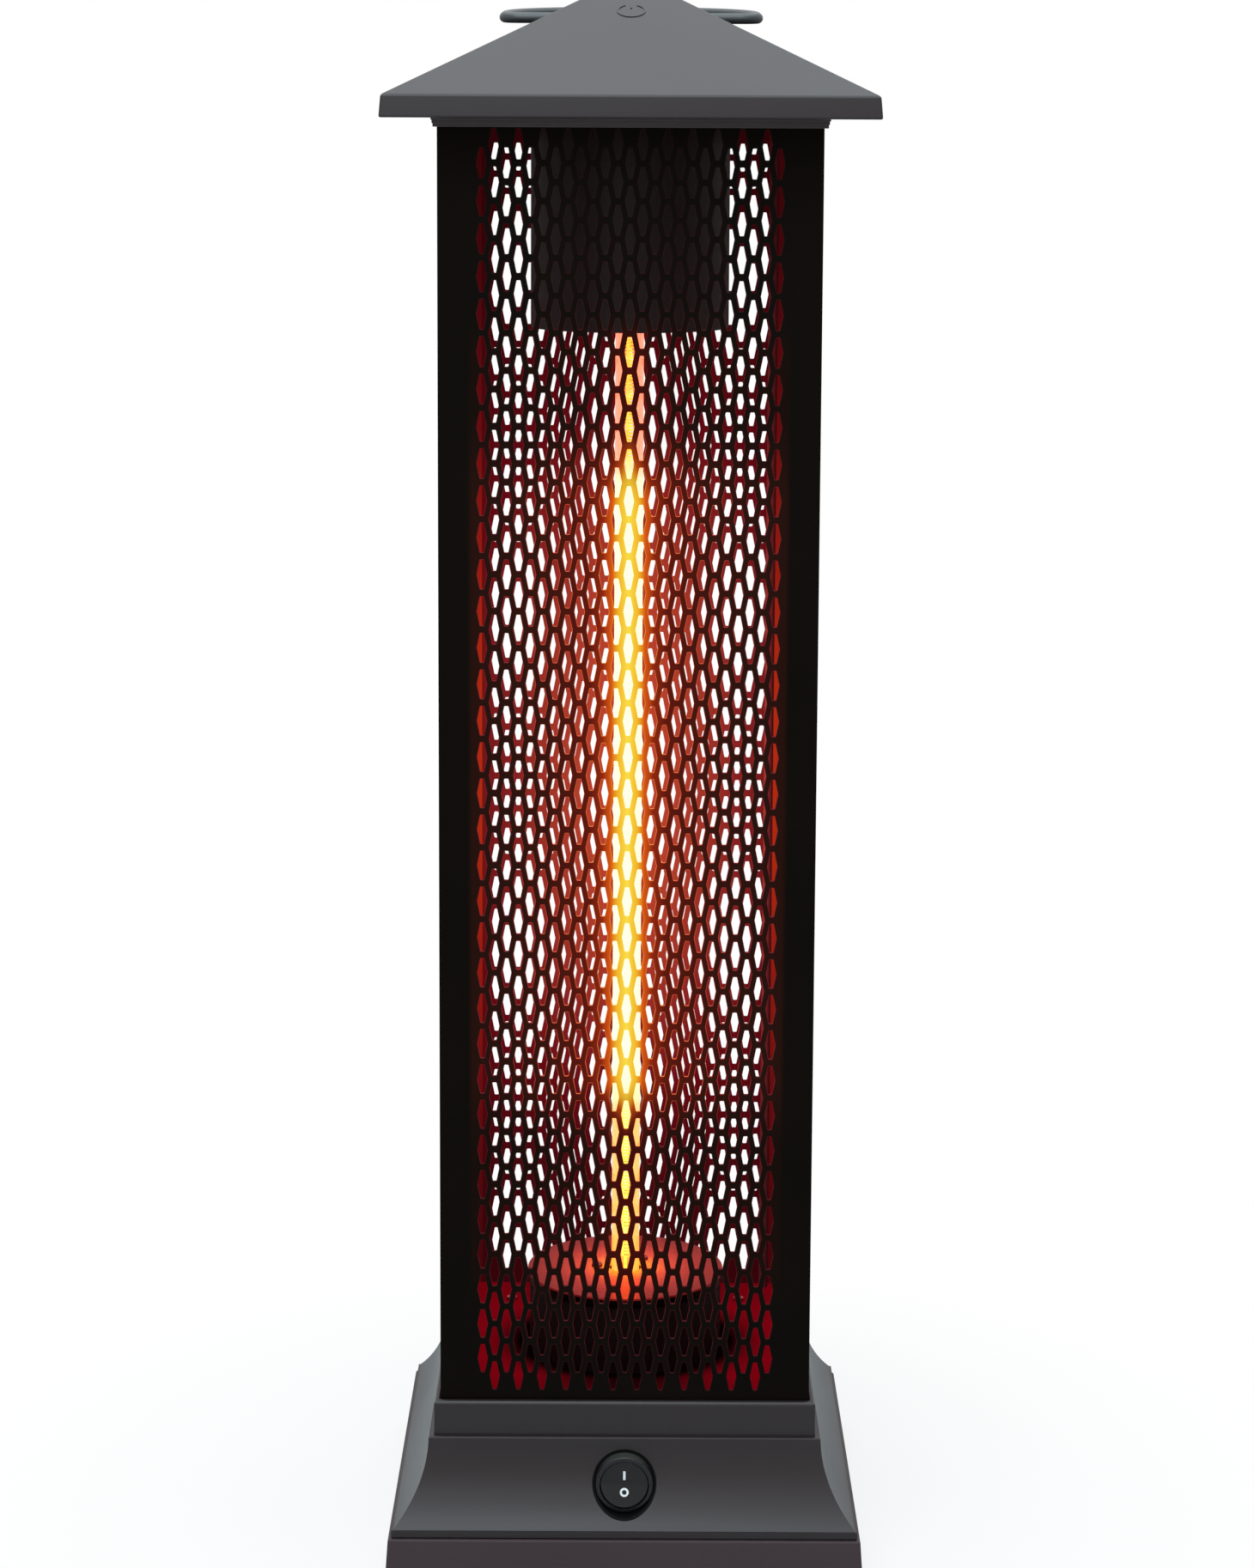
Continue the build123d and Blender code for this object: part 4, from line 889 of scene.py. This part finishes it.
# %% Perforated sheet tree
def make_sheet_tree():
    whole = ("Column Pairs", "Rows")
    sizes = [(name, INTEGER if name in whole else FLOAT, size) for name, size in SHEET_SIZES.items()]
    tree, start, end = new_group(
        "perforated_sheet", "GeometryNodeTree",
        [("Geometry", GEOMETRY, None), ("Sheet Width", FLOAT, 0.18), ("Sheet Height", FLOAT, 0.6359),
         ("Thickness", FLOAT, 0.0012), *sizes, ("Pattern Rise", FLOAT, 0.0),
         ("Face Distance", FLOAT, INNER_FACE), ("Sheet Middle", FLOAT, 0.39445), ("Turn", FLOAT, 0.0),
         ("Material", MATERIAL, None)],
        [("Geometry", GEOMETRY)],
    )
    value = start.outputs
    more, less, times = sums(tree)

    def grid(wide, high, across, along):
        return add_node(tree, "GeometryNodeMeshGrid", {
            "Size X": wide, "Size Y": high, "Vertices X": across, "Vertices Y": along}).outputs[0]

    def set_on(places, piece):
        return add_node(tree, "GeometryNodeInstanceOnPoints", {
            "Points": places, "Instance": piece}).outputs[0]

    def both_layers(flat):
        return joined(tree, flat, moved(tree, flat, point(tree, 0.0, 0.0, value["Thickness"])))

    pitch, row = value["Column Pitch"], value["Row Pitch"]
    pairs, rows = value["Column Pairs"], value["Rows"]
    wide, high = times(times(pairs, 2.0), pitch), times(rows, row)
    long_columns = grid(less(wide, times(pitch, 2.0)), less(high, row), pairs, rows)
    short_columns = grid(wide, less(high, times(row, 2.0)), more(pairs, 1.0), less(rows, 1.0))
    punched = set_on(joined(tree, long_columns, short_columns), punched_cell(tree, value))
    # blank half cells close the shorter columns at both ends
    blank = both_layers(grid(pitch, times(row, 0.5), 3, 2))
    blanks = set_on(grid(wide, less(high, times(row, 0.5)), more(pairs, 1.0), 2), blank)
    # plain border strips, with their corners where those of the cells are
    full_wide = more(wide, pitch)
    side = times(less(value["Sheet Width"], full_wide), 0.5)
    side_at = times(more(full_wide, side), 0.5)
    half_high, half_sheet = times(high, 0.5), times(value["Sheet Height"], 0.5)
    rise = value["Pattern Rise"]
    steps = more(times(more(times(pairs, 2.0), 1.0), 2.0), 1.0)
    strips = []
    for way in (-1.0, 1.0):
        depth = less(less(half_sheet, half_high), times(rise, way))
        middle = times(less(half_sheet, times(depth, 0.5)), way)
        side_strip = grid(side, high, 2, more(times(rows, 2.0), 1.0))
        strips.append(moved(tree, side_strip, point(tree, times(side_at, way), rise)))
        strips.append(moved(tree, grid(full_wide, depth, steps, 2), point(tree, 0.0, middle)))
        for other in (-1.0, 1.0):
            corner_at = point(tree, times(side_at, other), middle)
            strips.append(moved(tree, grid(side, depth, 2, 2), corner_at))
    frame_strips = welded(tree, joined(tree, *strips))
    # the rim: only edges on the outline are drawn up to the thickness
    place = places_of_points(tree)
    on_outline = [
        calc(tree, "GREATER_THAN", calc(tree, "ABSOLUTE", place[axis]), less(half, WELD_DISTANCE))
        for axis, half in (("X", times(value["Sheet Width"], 0.5)), ("Y", half_sheet))
    ]
    rim = drawn_up(tree, frame_strips, value["Thickness"], calc(tree, "MAXIMUM", *on_outline))["Mesh"]
    front_strips = moved(tree, frame_strips, point(tree, 0.0, 0.0, value["Thickness"]))
    pattern = moved(tree, joined(tree, punched, blanks), point(tree, 0.0, rise))
    flat = add_node(tree, "GeometryNodeRealizeInstances", {
        "Geometry": joined(tree, pattern, rim, front_strips)})
    upright = moved(tree, welded(tree, flat.outputs[0]), rotation=point(tree, math.pi / 2))
    forward = times(value["Face Distance"], -1.0)
    upright = moved(tree, upright, point(tree, 0.0, forward, value["Sheet Middle"]))
    turned = moved(tree, upright, rotation=point(tree, 0.0, 0.0, value["Turn"]))
    finish_tree(tree, turned, value["Material"], end)
    return tree


def face_outwards(made):
    """Turns all faces of a closed piece outwards, and tells how many open edges it has."""
    work = bmesh.new()
    work.from_mesh(made.data)
    bmesh.ops.recalc_face_normals(work, faces=work.faces)
    still_open = sum(not edge.is_manifold for edge in work.edges)
    work.to_mesh(made.data)
    work.free()
    return still_open


SHEET_TREE = make_sheet_tree()
for side, quarter in (("front", 0), ("right", 1), ("rear", 2), ("left", 3)):
    node = f"{side}_grille"
    low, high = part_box(node)
    middle = (low.z + high.z) / 2
    spans = (high.x - low.x, high.y - low.y)
    sheet = grow(f"{side}_sheet", SHEET_TREE, {
        **SHEET_SIZES, "Sheet Width": max(spans), "Thickness": min(spans),
        "Sheet Height": high.z - low.z, "Sheet Middle": middle,
        "Pattern Rise": PATTERN_MIDDLE - middle, "Turn": quarter * math.pi / 2,
        "Material": sheet_black})
    still_open = face_outwards(sheet)
    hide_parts(node)
    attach(sheet, "heater")
    print(sheet.name, len(sheet.data.polygons), "faces", still_open, "open edges")

# %% [markdown]
# ## Glowing coil
# A heating lamp's filament is a long, close coil of thin wire. A spiral curve with a round
# profile follows that rule exactly, and two straight pins carry it into the caps.

# %% Coil tree
COIL_WIRE = 0.5 * MM
COIL_PITCH = 1.7 * MM
COIL_INSET = 20 * MM
PIN_RADIUS = 0.8 * MM


def make_coil_tree():
    tree, start, end = new_group(
        "wound_coil", "GeometryNodeTree",
        [("Geometry", GEOMETRY, None), ("Low", FLOAT, 0.0), ("High", FLOAT, 1.0),
         ("Inset", FLOAT, COIL_INSET), ("Coil Radius", FLOAT, 0.0022),
         ("Wire Radius", FLOAT, COIL_WIRE), ("Turns", FLOAT, 100.0),
         ("Pin Radius", FLOAT, PIN_RADIUS), ("Material", MATERIAL, None)],
        [("Geometry", GEOMETRY)],
    )
    value = start.outputs

    def tube(curve, radius, sides):
        profile = add_node(tree, "GeometryNodeCurvePrimitiveCircle", {
            "Resolution": sides, "Radius": radius})
        made = add_node(tree, "GeometryNodeCurveToMesh", {
            "Curve": curve, "Profile Curve": profile.outputs[0], "Fill Caps": True})
        return add_node(tree, "GeometryNodeSetShadeSmooth", {"Geometry": made.outputs[0]}).outputs[0]

    from_low = calc(tree, "ADD", value["Low"], value["Inset"])
    to_high = calc(tree, "SUBTRACT", value["High"], value["Inset"])
    middle = calc(tree, "SUBTRACT", value["Coil Radius"], value["Wire Radius"])
    spiral = add_node(tree, "GeometryNodeCurveSpiral", {
        "Resolution": 10, "Rotations": value["Turns"], "Start Radius": middle, "End Radius": middle,
        "Height": calc(tree, "SUBTRACT", to_high, from_low)})
    coil = moved(tree, tube(spiral.outputs[0], value["Wire Radius"], 6), point(tree, 0.0, 0.0, from_low))
    pins = []
    for bottom, top in ((value["Low"], from_low), (to_high, value["High"])):
        line = add_node(tree, "GeometryNodeCurvePrimitiveLine", {
            "Start": point(tree, 0.0, 0.0, bottom), "End": point(tree, 0.0, 0.0, top)})
        pins.append(tube(line.outputs[0], value["Pin Radius"], 12))
    finish_tree(tree, joined(tree, coil, *pins), value["Material"], end)
    return tree


low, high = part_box("lamp_element")
coil = grow("wound_filament", make_coil_tree(), {
    "Low": low.z, "High": high.z, "Coil Radius": (high.x - low.x) / 2,
    "Turns": (high.z - low.z - 2 * COIL_INSET) / COIL_PITCH, "Material": glowing_coil})
face_outwards(coil)
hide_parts("lamp_element")
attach(coil, "heater")
print(coil.name, len(coil.data.polygons), "faces")

# %% [markdown]
# ## CAD nodes that keep their shape
# Small and inner pieces are right as they are, and only get their finish.

# %% Finishes of the carried nodes
FINISHES = {
    satin_grey: ("power_symbol",),
    upper_black_lit: ("roof_soffit",),
    post_black: ("post_front_left", "post_front_right", "post_rear_left", "post_rear_right"),
    floor_black: ("chamber_floor",),
    bright_disc: ("lower_disc",),
    rubber_black: ("foot_front_left", "foot_front_right", "foot_rear_left", "foot_rear_right"),
    zinc: ("base_screws", "terminal_screws", "tip_spring"),
    lit_zinc: ("post_screws", "floor_screws", "cup_screws", "holder_screws", "lamp_holder_lower",
               "lamp_holder_upper"),
    brass: ("switch_terminals",),
    cast_iron: ("ballast_plate",),
    hidden_black: ("cord_gland", "gland_nut", "terminal_block", "tip_switch_body", "tip_plunger",
                   "handle_bushes"),
    rod_black: ("handle_retainers",),
    mark_white: ("rocker_marks",),
    ceramic: ("lamp_cap_lower", "lamp_cap_upper"),
    glass_braid: ("wire_sleeve",),
    silicone_red: ("lead_upper", "lead_lower", "lead_switch", "lead_tip"),
}
for finish, names in FINISHES.items():
    for name in names:
        for place in nodes[name].material_slots:
            place.material = finish
print(sum(len(names) for names in FINISHES.values()), "carried nodes finished")

# %% [markdown]
# ## Studio
# A plain pale floor and a white surround, with one large soft lamp overhead and two smaller ones
# in front. The higher of these two is the one that the moulding of the base mirrors. Camera,
# mirror and glass rays see the surround at a strength of 1, which is white. The light that it
# sheds on the object is set apart from that.

# %% Floor
FLOOR_HALF = 12.0
# the floor is white by itself, and less so near the object, where its shadow shows
SHADOW_AREA = (0.13, 0.42)
WHITE_SHARE = 0.8


def make_floor():
    made = bpy.data.materials.new("studio_floor")
    made.use_nodes = True
    tree = made.node_tree
    tree.nodes.clear()
    place = tree.nodes.new("ShaderNodeTexCoord").outputs["Object"]
    away = add_node(tree, "ShaderNodeVectorMath", {0: place}, operation="LENGTH").outputs["Value"]
    open_floor = calc(tree, "MULTIPLY", smooth_step(tree, away, *SHADOW_AREA), 1.0 - WHITE_SHARE)
    share = calc(tree, "ADD", open_floor, WHITE_SHARE)
    share = calc(tree, "MULTIPLY", share, tree.nodes.new("ShaderNodeLightPath").outputs["Is Camera Ray"])
    matt = add_node(tree, "ShaderNodeBsdfDiffuse", {"Color": (0.8, 0.8, 0.8, 1.0)})
    white = add_node(tree, "ShaderNodeEmission", {"Strength": 1.0})
    both = add_node(tree, "ShaderNodeMixShader", {0: share, 1: matt.outputs[0], 2: white.outputs[0]})
    output = tree.nodes.new("ShaderNodeOutputMaterial")
    tree.links.new(both.outputs[0], output.inputs["Surface"])
    mesh = bpy.data.meshes.new("floor")
    corners = [(x * FLOOR_HALF, y * FLOOR_HALF, 0) for x, y in ((-1, -1), (1, -1), (1, 1), (-1, 1))]
    mesh.from_pydata(corners, [], [(0, 1, 2, 3)])
    mesh.materials.append(made)
    floor = link_mesh("floor", mesh)


make_floor()
print("Floor", 2 * FLOOR_HALF, "m wide")

# %% Surround and lamps
SURROUND_LIGHT = 0.25


def make_surround():
    world = bpy.data.worlds.new("surround")
    bpy.context.scene.world = world
    world.use_nodes = True
    tree = world.node_tree
    tree.nodes.clear()
    ray = tree.nodes.new("ShaderNodeLightPath").outputs
    seen = calc(tree, "MAXIMUM", ray["Is Camera Ray"], ray["Is Glossy Ray"])
    seen = calc(tree, "MAXIMUM", seen, ray["Is Transmission Ray"])
    strength = add_node(tree, "ShaderNodeMapRange", {
        "Value": seen, "To Min": SURROUND_LIGHT, "To Max": 1.0})
    light = add_node(tree, "ShaderNodeBackground", {
        "Color": (1.0, 1.0, 1.0, 1.0), "Strength": strength.outputs["Result"]})
    output = tree.nodes.new("ShaderNodeOutputWorld")
    tree.links.new(light.outputs[0], output.inputs["Surface"])


def soft_lamp(name, place, aim, size, radiance, colour=(1.0, 1.0, 1.0)):
    """A square soft box. Its power follows from how bright its face is."""
    data = bpy.data.lights.new(name, "AREA")
    data.shape = "RECTANGLE"
    data.size, data.size_y = size
    data.energy = radiance * math.pi * size[0] * size[1]
    data.color = colour
    lamp = bpy.data.objects.new(name, data)
    bpy.context.scene.collection.objects.link(lamp)
    lamp.location = place
    lamp.rotation_euler = (Vector(aim) - Vector(place)).to_track_quat("-Z", "Y").to_euler()
    lamp.visible_camera = False


make_surround()
COOL_WHITE = (0.78, 0.94, 1.0)
soft_lamp("overhead", (0, 0.1, 2.4), (0, 0.1, 0), (2.6, 2.6), 2.4, COOL_WHITE)
soft_lamp("front_strip", (-0.3, -1.3, 2.3), (0, -0.11, 0.05), (1.4, 1.2), 4.8, COOL_WHITE)
soft_lamp("front_fill", (-0.4, -1.9, 1.4), (0, -0.11, 0.05), (1.3, 1.2), 1.9, COOL_WHITE)
bpy.context.scene.view_settings.view_transform = "Standard"
print("Studio ready")
